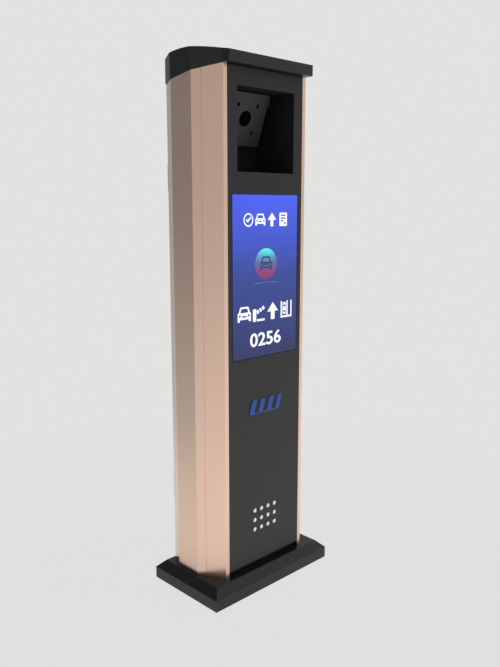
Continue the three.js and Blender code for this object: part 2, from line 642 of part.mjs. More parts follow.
function addLock() {
  const at = [lockX, lockZ];
  const seat = back + fit;
  const faceY = seat + lock.flangeWall;
  const tubeEnd = back - lock.depth;
  add("lock_housing", cut(join(rod("y", lock.flange, seat, faceY, at, 24),
    rod("y", lock.body, tubeEnd, seat + 1, at, 24)),
    rod("y", lock.plug + fit, tubeEnd - 1, faceY + 1, at, 24)), "steel");
  const camFront = landFace - shellWall - 0.5;
  const plug = join(rod("y", lock.plug, camFront + fit, faceY + 0.5, at, 24),
    rod("y", lock.stub, camFront - lock.camWall - 1, camFront + 1, at));
  const keyX = lock.keyWidth / 2;
  const keyZ = lock.keyHeight / 2;
  add("lock_plug", cut(plug, block(lockX - keyX, lockX + keyX, faceY - lock.keyDepth, faceY + 1,
    lockZ - keyZ, lockZ + keyZ)), "steel");
  add("lock_cam", cut(block(lockX - lock.cam / 2, lockX + lock.cam / 2, camFront - lock.camWall, camFront,
    lockZ - lock.camReach, lockZ + lock.cam * 0.7),
    rod("y", lock.stub + fit, camFront - lock.camWall - 1, camFront + 1, at)), "steel");
}

function addFan() {
  const half = fan.size / 2;
  const z = doorTop - fan.below;
  const y1 = back - door.wall - fit;
  const y0 = y1 - fan.depth;
  const spokes = [0, 1].map((i) => {
    const [a, b] = i ? [fan.bore + 1, fan.spoke / 2] : [fan.spoke / 2, fan.bore + 1];
    return block(-a, a, y0, y0 + fan.spokeWall, z - b, z + b);
  });
  add("fan_frame", join(cut(block(-half, half, y0, y1, z - half, z + half),
    rod("y", fan.bore, y0 - 1, y1 + 1, [0, z], 32)),
    rod("y", fan.hub, y0, y0 + fan.spokeWall, [0, z], 24), ...spokes), "plastic");

  const hubY = [y0 + fan.spokeWall + slack, y1 - 2];
  const pitch = THREE.MathUtils.degToRad(fan.pitch);
  const length = fan.blade - fan.hub + 2;
  const blades = Array.from({ length: fan.blades }, (_, i) => solid(
    new THREE.BoxGeometry(length, 2, fan.chord).rotateX(pitch).translate(fan.blade - length / 2, 0, 0)
      .rotateY((2 * Math.PI * i) / fan.blades).translate(0, (hubY[0] + hubY[1]) / 2, z)));
  add("fan_rotor", join(rod("y", fan.hub, ...hubY, [0, z], 24), ...blades), "plastic");
}

function addElectronics() {
  const seat = chassisBack + fit;
  const boxX = controller.width / 2;
  const top = chassisTop - controller.below;
  const bottom = top - controller.height;
  const boxBack = seat + controller.depth;
  add("controller_case", block(-boxX, boxX, seat, boxBack, bottom, top), "plastic");
  const finPitch = (controller.width - controller.finWall) / (controller.fins - 1);
  const sinkY = boxBack + fit;
  const fins = Array.from({ length: controller.fins }, (_, i) => {
    const x = -boxX + i * finPitch;
    return block(x, x + controller.finWall, sinkY, sinkY + controller.finDepth, bottom, top);
  });
  add("controller_heatsink", join(block(-boxX, boxX, sinkY, sinkY + controller.finWall, bottom,
    top), ...fins), "steel");

  const supplyX = supply.width / 2;
  const supplyBottom = chassisBottom + supply.above;
  const supplyTop = supplyBottom + supply.height;
  add("power_supply", cut(block(-supplyX, supplyX, seat, seat + supply.depth, supplyBottom, supplyTop),
    block(-supplyX + 4, supplyX - 4, seat + supply.depth / 2, seat + supply.depth + 1, supplyBottom - 1,
      supplyBottom + supply.terminal)), "zinc");

  const lip = din.height / 2;
  const web = din.height / 2 - 5;
  const hat = [[seat + din.depth, dinMiddle + lip], [seat + din.depth, dinMiddle + web],
    [seat, dinMiddle + web], [seat, dinMiddle - web], [seat + din.depth, dinMiddle - web],
    [seat + din.depth, dinMiddle - lip]];
  const railProfile = [...hat, ...offsetPath(hat, din.wall).reverse()];
  add("din_rail", prismX(railProfile, -din.length / 2, din.length / 2), "zinc");

  const clip = seat + din.depth + din.wall + fit;
  const x0 = terminals.fromEnd - din.length / 2;
  const width = terminals.count * terminals.width;
  const grooves = Array.from({ length: terminals.count - 1 }, (_, i) => {
    const x = x0 + (i + 1) * terminals.width;
    return block(x - terminals.groove / 2, x + terminals.groove / 2, clip + terminals.uncut,
      clip + terminals.depth + 1, 0, chassisTop);
  });
  add("terminal_blocks", cut(block(x0, x0 + width, clip, clip + terminals.depth,
    dinMiddle - terminals.height / 2, dinMiddle + terminals.height / 2), ...grooves), "grey");
  addBreaker(x0 + width + breaker.gap, clip);
}

function addBreaker(x0, clip) {
  const middle = x0 + breaker.width / 2;
  const face = clip + breaker.depth;
  const noseFace = face + breaker.nose;
  const body = join(
    block(x0, x0 + breaker.width, clip, face, dinMiddle - breaker.height / 2, dinMiddle + breaker.height / 2),
    block(x0, x0 + breaker.width, face - 1, noseFace, dinMiddle - breaker.noseHeight / 2,
      dinMiddle + breaker.noseHeight / 2));
  const pivotY = noseFace - lever.radius / 2;
  const wide = lever.width / 2 + slack;
  const at = [pivotY, dinMiddle];
  const pinHalf = wide - fit;
  const pocket = join(rod("x", lever.radius + slack, middle - wide, middle + wide, at, 24),
    block(middle - wide, middle + wide, pivotY, noseFace + 1, dinMiddle - lever.radius - slack,
      dinMiddle + lever.radius + slack));
  const spindle = rod("x", lever.bore, middle - wide - 1, middle + wide + 1, at, 12);
  add("breaker", join(cut(body, pocket), spindle), "grey");
  const group = new THREE.Group();
  group.position.set(middle, pivotY, dinMiddle);
  group.rotation.x = -THREE.MathUtils.degToRad(lever.droop);
  root.add(group);
  const drum = rod("x", lever.radius, -lever.width / 2, lever.width / 2, [0, 0], 24);
  const stick = block(-lever.width / 2, lever.width / 2, 0, lever.stick, -lever.stickWall / 2,
    lever.stickWall / 2);
  add("breaker_lever", cut(join(drum, stick), rod("x", lever.bore + fit, -pinHalf, pinHalf, [0, 0], 12)),
    "plastic", group);
}

addPlinth();
addFrames();
addGland();
addShells();
addFrontPanel();
addSpeaker();
addNiche();
addCameraPlate();
addCap();
addRearFrame();
addDoor();
addHinges();
addLock();
addFan();
addElectronics();

export default root;
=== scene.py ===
import json
import math

import bmesh
import bpy
from mathutils import Matrix, Vector

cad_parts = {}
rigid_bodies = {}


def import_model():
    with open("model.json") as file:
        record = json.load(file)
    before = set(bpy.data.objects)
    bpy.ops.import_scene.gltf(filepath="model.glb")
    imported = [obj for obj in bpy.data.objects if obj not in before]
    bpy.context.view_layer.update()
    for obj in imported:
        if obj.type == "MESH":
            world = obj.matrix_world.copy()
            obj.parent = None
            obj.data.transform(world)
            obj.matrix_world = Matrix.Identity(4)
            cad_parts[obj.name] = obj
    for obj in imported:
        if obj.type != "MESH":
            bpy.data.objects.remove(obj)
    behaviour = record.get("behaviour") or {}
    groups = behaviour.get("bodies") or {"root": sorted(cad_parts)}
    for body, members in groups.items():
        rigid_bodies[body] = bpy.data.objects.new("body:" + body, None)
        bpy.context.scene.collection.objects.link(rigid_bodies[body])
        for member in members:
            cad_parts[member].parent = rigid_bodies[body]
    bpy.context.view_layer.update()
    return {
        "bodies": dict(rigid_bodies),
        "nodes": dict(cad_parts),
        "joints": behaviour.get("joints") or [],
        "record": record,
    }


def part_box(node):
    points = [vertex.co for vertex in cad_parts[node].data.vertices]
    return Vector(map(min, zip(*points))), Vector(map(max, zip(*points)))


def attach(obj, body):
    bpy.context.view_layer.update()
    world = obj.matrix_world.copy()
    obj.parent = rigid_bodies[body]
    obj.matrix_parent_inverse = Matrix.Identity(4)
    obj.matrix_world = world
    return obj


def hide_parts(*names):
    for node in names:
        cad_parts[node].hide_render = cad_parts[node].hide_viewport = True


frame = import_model()
nodes = frame["nodes"]
joints = {joint["name"]: joint for joint in frame["joints"]}
mounts = {mount["name"]: mount for mount in frame["record"]["mounts"]}
print("frame loaded:", len(nodes), "nodes")

view = {"place": (-1.4955, -1.5685, 1.1660), "turn": 44.25, "tilt": -10.193, "lens": 38.43}


def linked(name, data):
    obj = bpy.data.objects.new(name, data)
    bpy.context.scene.collection.objects.link(obj)
    return obj


def aimed(name, data, place, direction):
    holder = linked(name, data)
    holder.location = place
    holder.rotation_euler = direction.to_track_quat("-Z", "Y").to_euler()
    return holder


def addCamera():
    camera = bpy.data.cameras.new("camera")
    camera.lens = view["lens"]
    camera.sensor_width = 36
    camera.clip_end = 100
    turn, tilt = math.radians(view["turn"]), math.radians(view["tilt"])
    ahead = Vector((math.sin(turn) * math.cos(tilt), math.cos(turn) * math.cos(tilt), math.sin(tilt)))
    bpy.context.scene.camera = aimed("camera", camera, view["place"], ahead)


class Wire:  # a socket that can stand in an expression
    def __init__(self, maker, socket):
        self.maker = maker
        self.socket = socket

    def math(self, operation, *values):
        return self.maker.node("ShaderNodeMath", {"operation": operation}, dict(enumerate(values)))

    def __add__(self, other):
        return self.math("ADD", self, other)

    def __radd__(self, other):
        return self.math("ADD", other, self)

    def __sub__(self, other):
        return self.math("SUBTRACT", self, other)

    def __rsub__(self, other):
        return self.math("SUBTRACT", other, self)

    def __mul__(self, other):
        return self.math("MULTIPLY", self, other)

    def __rmul__(self, other):
        return self.math("MULTIPLY", other, self)

    def __truediv__(self, other):
        return self.math("DIVIDE", self, other)

    def __mod__(self, other):
        return self.math("MODULO", self, other)

    def __pow__(self, other):
        return self.math("POWER", self, other)

    def __gt__(self, other):
        return self.math("GREATER_THAN", self, other)

    def __lt__(self, other):
        return self.math("LESS_THAN", self, other)

    def __abs__(self):
        return self.math("ABSOLUTE", self)

    def __floor__(self):
        return self.math("FLOOR", self)


class Wiring:  # a node tree and the ways to add to it
    def __init__(self, tree):
        self.tree = tree
        self.tree.nodes.clear()

    def node(self, kind, settings=None, values=None, output=0):
        made = self.tree.nodes.new(kind)
        for key, value in (settings or {}).items():
            if key == "stops":
                ramp = made.color_ramp.elements
                while len(ramp) < len(value):
                    ramp.new(1)
                for stop, (place, colour) in zip(ramp, value):
                    stop.position = place
                    stop.color = (*colour, 1)
            else:
                setattr(made, key, value)
        for key, value in (values or {}).items():
            if isinstance(value, Wire):
                self.tree.links.new(value.socket, made.inputs[key])
            else:
                made.inputs[key].default_value = value
        return Wire(self, made.outputs[output]) if made.outputs else made

    def axes(self, vector):
        split = self.node("ShaderNodeSeparateXYZ", values={0: vector})
        return [Wire(self, socket) for socket in split.socket.node.outputs]

    def ranged(self, value, start, end, first=0.0, last=1.0, shape="SMOOTHSTEP"):
        # Runs from `first` to `last` while the value goes from `start` to `end`.
        return self.node("ShaderNodeMapRange", {"interpolation_type": shape},
                         {0: value, 1: start, 2: end, 3: first, 4: last})


class Shading(Wiring):
    def __init__(self, owner):
        owner.use_nodes = True
        self.owner = owner
        super().__init__(owner.node_tree)

    def place(self):
        return self.node("ShaderNodeTexCoord", output="Object")

    def noise(self, scale, stretch=(1, 1, 1), detail=2.0):
        spot = self.node("ShaderNodeMapping", values={"Vector": self.place(), "Scale": stretch})
        return self.node("ShaderNodeTexNoise", values={"Vector": spot, "Scale": scale, "Detail": detail})

    def between(self, share, first, second):
        first, second = [c if isinstance(c, Wire) else (*c, 1) for c in (first, second)]
        return self.node("ShaderNodeMix", {"data_type": "RGBA"}, {0: share, 6: first, 7: second}, output=2)

    def bump(self, height, distance, strength=1.0):
        return self.node("ShaderNodeBump", values={"Height": height, "Distance": distance,
                                                   "Strength": strength})

    def surface(self, **values):
        names = {key.replace("_", " ").title().replace("Ior", "IOR"): value for key, value in values.items()}
        shader = self.node("ShaderNodeBsdfPrincipled", values={
            key: (*value, 1) if isinstance(value, tuple) and len(value) == 3 else value
            for key, value in names.items()})
        self.node("ShaderNodeOutputMaterial", values={"Surface": shader})
        return self.owner


studio = {
    "backdrop": (0.763, 0.763, 0.758),
    "floor": 1.9,  # half the floor's width, where it has melted into the backdrop
    "floorSolid": 0.7,  # the floor is whole up to here
    "floorDrop": 0.0005,  # how far it lies below the plinth
    "floorGlow": 0.95,
    "towards": (0.35, -0.94),  # the bright side of the studio
    # From here on: from one place to another, the level at the first and at the last.
    "floorShine": (0.6, -0.5, 0.95, 1.22),  # the floor in reflections, from the back to the front
    "floorShade": (0.25, 0.6, 0.84, 1.0),  # close round the plinth
    "wall": (-1.1, 0.3, 0.22, 0.62),
    "rearGlow": (0.85, 1.0, 0.0, 0.16),
    "ground": (-1.0, 0.2, 0.62, 0.98),
    "ceiling": (-0.2, 0.6, 0.62, 1.3),  # from left to right
    "wallToCeiling": (0.1, 0.7),
    "wallToGround": (0.05, -0.5),
    "coolSide": (0.2, 0.9),
    "cool": (0.93, 1.0, 1.06),
}


def addFloor():
    end, level = studio["floor"], -studio["floorDrop"]
    mesh = bpy.data.meshes.new("floor")
    corners = [(x, y, level) for x, y in ((-end, -end), (end, -end), (end, end), (-end, end))]
    mesh.from_pydata(corners, [], [(0, 1, 2, 3)])
    shading = Shading(bpy.data.materials.new("paleFloor"))
    across, along, _ = shading.axes(shading.place())
    reach = (across * across + along * along) ** 0.5
    seen = shading.node("ShaderNodeLightPath", output="Is Camera Ray")
    shine = shading.ranged(along, *studio["floorShine"])
    shade = shading.ranged(reach, *studio["floorShade"])
    backdrop = (*studio["backdrop"], 1)
    glow = shading.node("ShaderNodeEmission", values={"Color": backdrop,
                                                      "Strength": seen + (1 - seen) * shine * shade})
    matt = shading.node("ShaderNodeBsdfDiffuse", values={"Color": backdrop})
    mixed = shading.node("ShaderNodeMixShader", values={0: studio["floorGlow"], 1: matt, 2: glow})
    clear = shading.node("ShaderNodeBsdfTransparent")
    fade = shading.ranged(reach, studio["floorSolid"], end)
    melted = shading.node("ShaderNodeMixShader", values={0: fade, 1: mixed, 2: clear})
    shading.node("ShaderNodeOutputMaterial", values={"Surface": melted})
    mesh.materials.append(shading.owner)
    linked("floor", mesh)


def addBackdrop():
    world = bpy.data.worlds.new("studio")
    bpy.context.scene.world = world
    shading = Shading(world)
    across, along, up = shading.axes(shading.node("ShaderNodeTexCoord", output="Generated"))
    x, y = studio["towards"]
    facingLight = across * x + along * y
    wall = shading.ranged(facingLight, *studio["wall"]) + shading.ranged(along, *studio["rearGlow"])
    high = shading.ranged(up, *studio["wallToCeiling"])
    wall = wall * (1 - high + high * shading.ranged(across, *studio["ceiling"]))
    below = shading.ranged(up, *studio["wallToGround"])
    light = wall * (1 - below) + shading.ranged(facingLight, *studio["ground"]) * below
    cool = shading.between(shading.ranged(along, *studio["coolSide"]), (1, 1, 1), studio["cool"])
    soft = shading.node("ShaderNodeBackground", values={"Color": cool, "Strength": light})
    plain = shading.node("ShaderNodeBackground", values={"Color": (*studio["backdrop"], 1)})
    seen = shading.node("ShaderNodeLightPath", output="Is Camera Ray")
    both = shading.node("ShaderNodeMixShader", values={0: seen, 1: soft, 2: plain})
    shading.node("ShaderNodeOutputWorld", values={"Surface": both})


lamps = {
    "key": {"place": (2.6, -2.4, 2.2), "size": 1.6, "power": 26},
    "fill": {"place": (-2.8, -1.6, 2.6), "size": 1.8, "power": 6},
    "rear": {"place": (0.8, 3.0, 2.4), "size": 1.6, "power": 8},
}


def addLamps():
    target = Vector((0, 0, 0.8))  # half way up the column
    for name, lamp in lamps.items():
        light = bpy.data.lights.new(name, "AREA")
        light.shape = "SQUARE"
        light.size = lamp["size"]
        light.energy = lamp["power"]
        holder = aimed(name, light, lamp["place"], target - Vector(lamp["place"]))
        holder.visible_camera = False
        holder.visible_glossy = False


bpy.context.scene.view_settings.view_transform = "Standard"
addCamera()
addFloor()
addBackdrop()
addLamps()
print("camera, stage and lamps placed")


# Materials: one function for each kind, and then a table of the object's finishes.

def newPaint(name):
    return Shading(bpy.data.materials.new(name))


def scaledShade(shade, factor):
    return tuple(channel * factor for channel in shade)


gold = {"tints": ((0.885, 0.600, 0.440), (0.895, 0.592, 0.452)), "streak": (0.80, 0.53, 0.39),
        "dust": (0.70, 0.50, 0.40), "dustLine": (0.16, 0.06), "gloss": 0.25, "coatIndex": 1.85,
        "drawn": (900, 900, 5), "bands": (26, 26, 0.5), "grain": 2600, "relief": 0.00001}


def goldAnodised(name, brushed=1.0):
    shading = newPaint(name)
    streak = shading.noise(1, gold["drawn"], detail=3)  # drawn lines run up the column
    band = shading.noise(1, gold["bands"], detail=1)
    grain = shading.noise(gold["grain"], detail=1)
    colour = shading.between(shading.ranged(band, 0.35, 0.65), *gold["tints"])
    colour = shading.between(streak * 0.10, colour, gold["streak"])
    _, _, up = shading.axes(shading.place())
    # darker and rougher in patches towards the foot of the column
    dust = shading.ranged(up, *gold["dustLine"]) * shading.noise(60, detail=3)
    return shading.surface(base_color=shading.between(dust * 0.18, colour, gold["dust"]), metallic=1.0,
                           roughness=streak * 0.05 + dust * 0.1 + gold["gloss"], coat_weight=1.0,
                           coat_ior=gold["coatIndex"], coat_roughness=gold["gloss"],
                           normal=shading.bump(streak * 0.7 + grain * 0.3, gold["relief"], 0.10 * brushed))


def powderCoat(name, shade, gloss, level=0.4, peel=0.00002, scale=1400, footLight=0):
    shading = newPaint(name)
    peelNoise = shading.noise(scale, detail=2)
    patch = shading.noise(22, detail=3)
    colour = shading.between(patch, shade, scaledShade(shade, 1.25))
    if footLight:  # painted light: the coat grows lighter towards the foot, where light from the floor falls
        _, _, up = shading.axes(shading.place())
        haze = shading.ranged(up, 1.5, 0.1, shape="LINEAR") * (0.85 + patch * 0.3)
        colour = shading.between(haze, colour, scaledShade(shade, footLight))
    return shading.surface(base_color=colour, roughness=patch * 0.06 + peelNoise * 0.05 + gloss,
                           specular_ior_level=level, normal=shading.bump(peelNoise, peel, 0.35))


def plainMetal(name, shade, gloss, stretch=(1, 1, 1), spangle=0.0):
    shading = newPaint(name)
    lines = shading.noise(300, stretch, detail=3)
    patch = shading.noise(35, detail=2)
    colour = shading.between(patch, scaledShade(shade, 0.82), shade)
    if spangle:
        cells = shading.node("ShaderNodeTexVoronoi", values={"Vector": shading.place(), "Scale": 160.0},
                             output="Color")
        bright = shading.axes(cells)[0]
        colour = shading.between(bright * spangle, colour, scaledShade(shade, 1.25))
    return shading.surface(base_color=colour, metallic=1.0, roughness=lines * 0.12 + gloss,
                           normal=shading.bump(lines, 0.00001, 0.3))


def mouldedPlastic(name, shade, gloss, grainScale=900):
    shading = newPaint(name)
    grain = shading.noise(grainScale, detail=2)
    patch = shading.noise(18, detail=2)
    return shading.surface(base_color=shading.between(patch, scaledShade(shade, 0.88), shade),
                           roughness=grain * 0.1 + gloss, normal=shading.bump(grain, 0.00003, 0.3))


picture = {"border": 0.002, "haze": (0.06, 0.07, 0.30), "glass": (0.004, 0.004, 0.006), "gloss": 0.22,
           "stops": [(0.0, (0.026, 0.032, 0.080)), (0.5, (0.037, 0.070, 0.310)), (0.86, (0.07, 0.122, 0.84)),
                     (1.0, (0.075, 0.130, 1.060))]}


def screenPicture():
    low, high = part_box("screen_glass")
    shading = newPaint("screenPicture")
    across, _, up = shading.axes(shading.place())
    rise = shading.ranged(up, low.z, high.z, shape="LINEAR")
    sky = shading.node("ShaderNodeValToRGB", {"stops": picture["stops"]}, {0: rise})
    haze = shading.noise(7, detail=2)
    drift = shading.between(haze * 0.35, sky, picture["haze"])
    edge = picture["border"]
    inside = (abs(across) < high.x - edge) * (up > low.z + edge) * (up < high.z - edge)
    return shading.surface(base_color=picture["glass"], roughness=haze * 0.02 + picture["gloss"],
                           emission_color=shading.between(inside, (0, 0, 0), drift), emission_strength=1.0,
                           specular_ior_level=0.2)


def litPaint(name, colour):
    shading = newPaint(name)
    fade = shading.noise(40, detail=1)
    return shading.surface(base_color=scaledShade(colour, 0.2), roughness=fade * 0.05 + 0.4,
                           emission_color=shading.between(fade, scaledShade(colour, 0.93), colour),
                           emission_strength=1.0)


discColours = [(0.0, (0.24, 0.02, 0.13)), (0.30, (0.27, 0.035, 0.17)), (0.52, (0.10, 0.13, 0.33)),
               (0.72, (0.07, 0.35, 0.52)), (0.95, (0.10, 0.86, 0.86))]


def discPaint(height, radius):  # a round sign on the screen's middle line
    shading = newPaint("discPaint")
    across, _, up = shading.axes(shading.place())
    rise = shading.ranged(up, height - radius, height + radius, shape="LINEAR")
    body = shading.node("ShaderNodeValToRGB", {"stops": discColours}, {0: rise})
    side = abs(across) / radius
    return shading.surface(base_color=(0.01, 0.01, 0.01), roughness=side * 0.1 + 0.3, emission_strength=1.0,
                           emission_color=shading.between(side ** 3 * 0.45, body, (0.07, 0.09, 0.34)))


finishes = {  # the record's slot and the material
    "gold": ("gold_anodised", goldAnodised("roseGoldAnodised")),
    "goldSheet": ("gold_anodised", goldAnodised("roseGoldSheet", 0.6)),
    "black": ("black_paint", powderCoat("blackPowderCoat", (0.0085, 0.0085, 0.0087), 0.26)),
    # the panel's last value is painted light: the coat at its foot is 2.5 times lighter, for light from the floor
    "panel": ("panel_paint", powderCoat("satinPanelCoat", (0.0170, 0.0170, 0.0174), 0.46, 0.25, 0.00001, 2200,
                                        2.5)),
    # a matt black for the recess box and the kick plate; its extra darkness is painted shade, for the dark inside
    # the niche and under the panel
    "recess": ("black_paint", powderCoat("shadedMattRecessCoat", (0.0065, 0.0065, 0.0065), 0.62, 0.3)),
    "bracket": ("black_paint", powderCoat("bracketCoat", (0.024, 0.024, 0.0245), 0.45)),
    "zinc": ("zinc_steel", plainMetal("zincPlatedSheet", (0.60, 0.62, 0.65), 0.26, spangle=0.35)),
    "steel": ("bright_steel", plainMetal("brightSteel", (0.66, 0.66, 0.67), 0.2, (1, 1, 6))),
    "copper": ("bright_steel", plainMetal("brassContact", (0.72, 0.53, 0.28), 0.3)),
    "sink": ("heatsink", plainMetal("extrudedAluminium", (0.62, 0.63, 0.65), 0.3, (8, 8, 0.4))),
    "blue": ("badge_blue", plainMetal("blueAnodised", (0.060, 0.120, 0.400), 0.22)),
    "picture": ("screen_glass", screenPicture()),
    "glyph": ("screen_glass", litPaint("litWhite", (0.93, 0.94, 1.0))),
    "navy": ("screen_glass", litPaint("litNavy", (0.015, 0.045, 0.16))),
    "paleBlue": ("screen_glass", litPaint("litPaleBlue", (0.13, 0.21, 0.52))),
    "lamp": ("grey_plastic", litPaint("litGreen", (0.05, 0.65, 0.12))),
    "white": ("white_insert", mouldedPlastic("mattWhitePlastic", (0.99, 0.99, 0.98), 0.30)),
    "rubber": ("rubber", mouldedPlastic("blackRubber", (0.012, 0.012, 0.012), 0.72, 500)),
    "plastic": ("black_plastic", mouldedPlastic("blackPlastic", (0.022, 0.022, 0.024), 0.4)),
    "dark": ("black_plastic", mouldedPlastic("deepShade", (0.004, 0.004, 0.004), 0.8)),
    "grey": ("grey_plastic", mouldedPlastic("greyPlastic", (0.42, 0.43, 0.43), 0.45)),
    "green": ("grey_plastic", mouldedPlastic("greenPlastic", (0.03, 0.22, 0.08), 0.4)),
}
print("materials made:", len(finishes))


# Mesh helpers. Outlines are lists of points in two axes, and every size is in metres.

facing = {  # from an outline in two axes, and a depth, to the part's X, Y and Z
    "z": Matrix.Identity(4),
    "y": Matrix(((1, 0, 0, 0), (0, 0, 1, 0), (0, 1, 0, 0), (0, 0, 0, 1))),
    "x": Matrix(((0, 0, 1, 0), (1, 0, 0, 0), (0, 1, 0, 0), (0, 0, 0, 1))),
}
weld = {"made": 1e-6, "cad": 2e-6, "flat": 0.4}  # distances, and an angle in degrees


def plainMesh(obj):  # the object's evaluated shape as a mesh, and the object gone
    bpy.context.view_layer.update()
    mesh = bpy.data.meshes.new_from_object(obj.evaluated_get(bpy.context.evaluated_depsgraph_get()))
    data = obj.data
    bpy.data.objects.remove(obj)
    if data.users == 0:
        (bpy.data.meshes if isinstance(data, bpy.types.Mesh) else bpy.data.curves).remove(data)
    return mesh


def meshFrom(work, name):
    mesh = bpy.data.meshes.new(name)
    work.to_mesh(mesh)
    work.free()
    return mesh


def cleaned(mesh, transform=None):
    work = bmesh.new()
    work.from_mesh(mesh)
    if transform:
        bmesh.ops.transform(work, matrix=transform, verts=work.verts)
    bmesh.ops.remove_doubles(work, verts=work.verts, dist=weld["made"])
    bmesh.ops.dissolve_degenerate(work, dist=weld["made"], edges=work.edges)
    bmesh.ops.recalc_face_normals(work, faces=work.faces)
    work.to_mesh(mesh)
    work.free()
    return mesh


def piece(name, mesh, finish, replaced=(), body="column", bevel=0.0, angle=30, segments=2):
    slotName, material = finishes[finish]
    mesh.name = name
    mesh.materials.clear()
    mesh.materials.append(material)
    for polygon in mesh.polygons:
        polygon.material_index = 0
    mesh.shade_smooth()
    mesh.set_sharp_from_angle(angle=math.radians(angle))
    obj = linked(name, mesh)
    if bevel:
        rounding = obj.modifiers.new("edges", "BEVEL")
        rounding.width = bevel
        rounding.segments = segments
        rounding.limit_method = "ANGLE"
        rounding.angle_limit = math.radians(angle)
        rounding.use_clamp_overlap = True
    weights = obj.modifiers.new("normals", "WEIGHTED_NORMAL")
    weights.keep_sharp = True
    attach(obj, body)
    if replaced:
        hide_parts(*replaced)


def mergedNode(node):  # the CAD node's loose triangles, joined at their corners
    work = bmesh.new()
    work.from_mesh(nodes[node].data)
    bmesh.ops.remove_doubles(work, verts=work.verts, dist=weld["cad"])
    return work


def softened(node, name, finish, bevel, angle=30, segments=2, body="column"):
    # The CAD node's shape in whole faces, with rounded edges.
    work = mergedNode(node)
    bmesh.ops.dissolve_limit(work, angle_limit=math.radians(weld["flat"]), verts=work.verts, edges=work.edges)
    piece(name, meshFrom(work, node), finish, (node,), body, bevel, angle, segments)


def middleOf(box):
    return (box[0] + box[1]) / 2


def quarter(steps):  # the angles of a quarter turn
    return [math.pi / 2 * k / steps for k in range(steps + 1)]


def area(points):
    return sum(a[0] * b[1] - b[0] * a[1] for a, b in zip(points, points[1:] + points[:1])) / 2


def rounded(points, radius, steps=5):
    # Each corner becomes an arc; short edges get a smaller one.
    made = []
    count = len(points)
    radii = radius if isinstance(radius, list) else [radius] * count
    for i, corner in enumerate(points):
        corner = Vector(corner)
        before = Vector(points[i - 1]) - corner
        after = Vector(points[(i + 1) % count]) - corner
        opening = before.angle(after)
        bend = min(radii[i], 0.45 * min(before.length, after.length) * math.tan(opening / 2))
        if bend < 2e-5 or opening > math.radians(178):
            made.append(tuple(corner))
            continue
        reach = bend / math.tan(opening / 2)
        inward = (before.normalized() + after.normalized()).normalized()
        middle = corner + inward * bend / math.sin(opening / 2)
        start = corner + before.normalized() * reach - middle
        end = corner + after.normalized() * reach - middle
        turn = math.copysign(math.pi - opening, start.x * end.y - start.y * end.x)
        for k in range(steps + 1):
            made.append(tuple(Matrix.Rotation(turn * k / steps, 2) @ start + middle))
    return made


def rectangle(x0, x1, y0, y1, radius=0.0, steps=5):
    points = [(x0, y0), (x1, y0), (x1, y1), (x0, y1)]
    return rounded(points, radius, steps) if radius else points


def frontOf(low, high, inset=0.0, radius=0.0, steps=5):  # a box's outline from the front
    return rectangle(low.x + inset, high.x - inset, low.z + inset, high.z - inset, radius, steps)


def circle(x, y, radius, sides=48):
    return [(x + radius * math.cos(2 * math.pi * i / sides), y + radius * math.sin(2 * math.pi * i / sides))
            for i in range(sides)]


def slab(outline, low, high, axis="z", edge=0.0004, holes=(), steps=1):
    # An outline with holes, drawn from `low` to `high` along an axis, with rounded edges.
    curve = bpy.data.curves.new("outline", "CURVE")
    curve.dimensions = "2D"
    curve.fill_mode = "BOTH"
    curve.extrude = (high - low) / 2 - edge
    curve.bevel_depth = edge
    curve.bevel_resolution = steps
    curve.offset = -edge
    for i, points in enumerate([outline, *holes]):
        points = list(points)
        if (area(points) > 0) != (i == 0):
            points.reverse()
        spline = curve.splines.new("POLY")
        spline.points.add(len(points) - 1)
        for point, (x, y) in zip(spline.points, points):
            point.co = (x, y, 0, 1)
        spline.use_cyclic_u = True
    mesh = plainMesh(linked("outline", curve))
    return cleaned(mesh, facing[axis] @ Matrix.Translation((0, 0, (low + high) / 2)))


def brick(x0, x1, y0, y1, z0, z1, edge=0.0004):
    return slab(rectangle(x0, x1, y0, y1, max(edge, 0.0002), 2), z0, z1, edge=edge)


def joined(*meshes):
    work = bmesh.new()
    for mesh in meshes:
        work.from_mesh(mesh)
        bpy.data.meshes.remove(mesh)
    return meshFrom(work, "joined")


def turned(profile, at=(0, 0, 0), axis="z", sides=40):
    # A closed outline of (radius, along) points turned about an axis through `at`.
    work = bmesh.new()
    rings = []
    for radius, along in profile:
        if radius < 1e-7:
            rings.append([work.verts.new((0, 0, along))])
        else:
            rings.append([work.verts.new((x, y, along)) for x, y in circle(0, 0, radius, sides)])
    for first, second in zip(rings, rings[1:] + rings[:1]):
        if len(first) == 1 and len(second) == 1:
            continue
        for i in range(sides):
            j = (i + 1) % sides
            if len(first) == 1:
                work.faces.new((first[0], second[i], second[j]))
            elif len(second) == 1:
                work.faces.new((first[i], second[0], first[j]))
            else:
                work.faces.new((first[i], second[i], second[j], first[j]))
    return cleaned(meshFrom(work, "turned"), Matrix.Translation(at) @ facing[axis])


def carved(mesh, cutters, operation="DIFFERENCE"):
    obj = linked("carved", mesh)
    helpers = [linked("cutter", cutter) for cutter in cutters]
    for helper in helpers:
        change = obj.modifiers.new("cut", "BOOLEAN")
        change.operation = operation
        change.solver = "EXACT"
        change.object = helper
    made = plainMesh(obj)
    for helper in helpers:
        data = helper.data
        bpy.data.objects.remove(helper)
        bpy.data.meshes.remove(data)
    return cleaned(made)


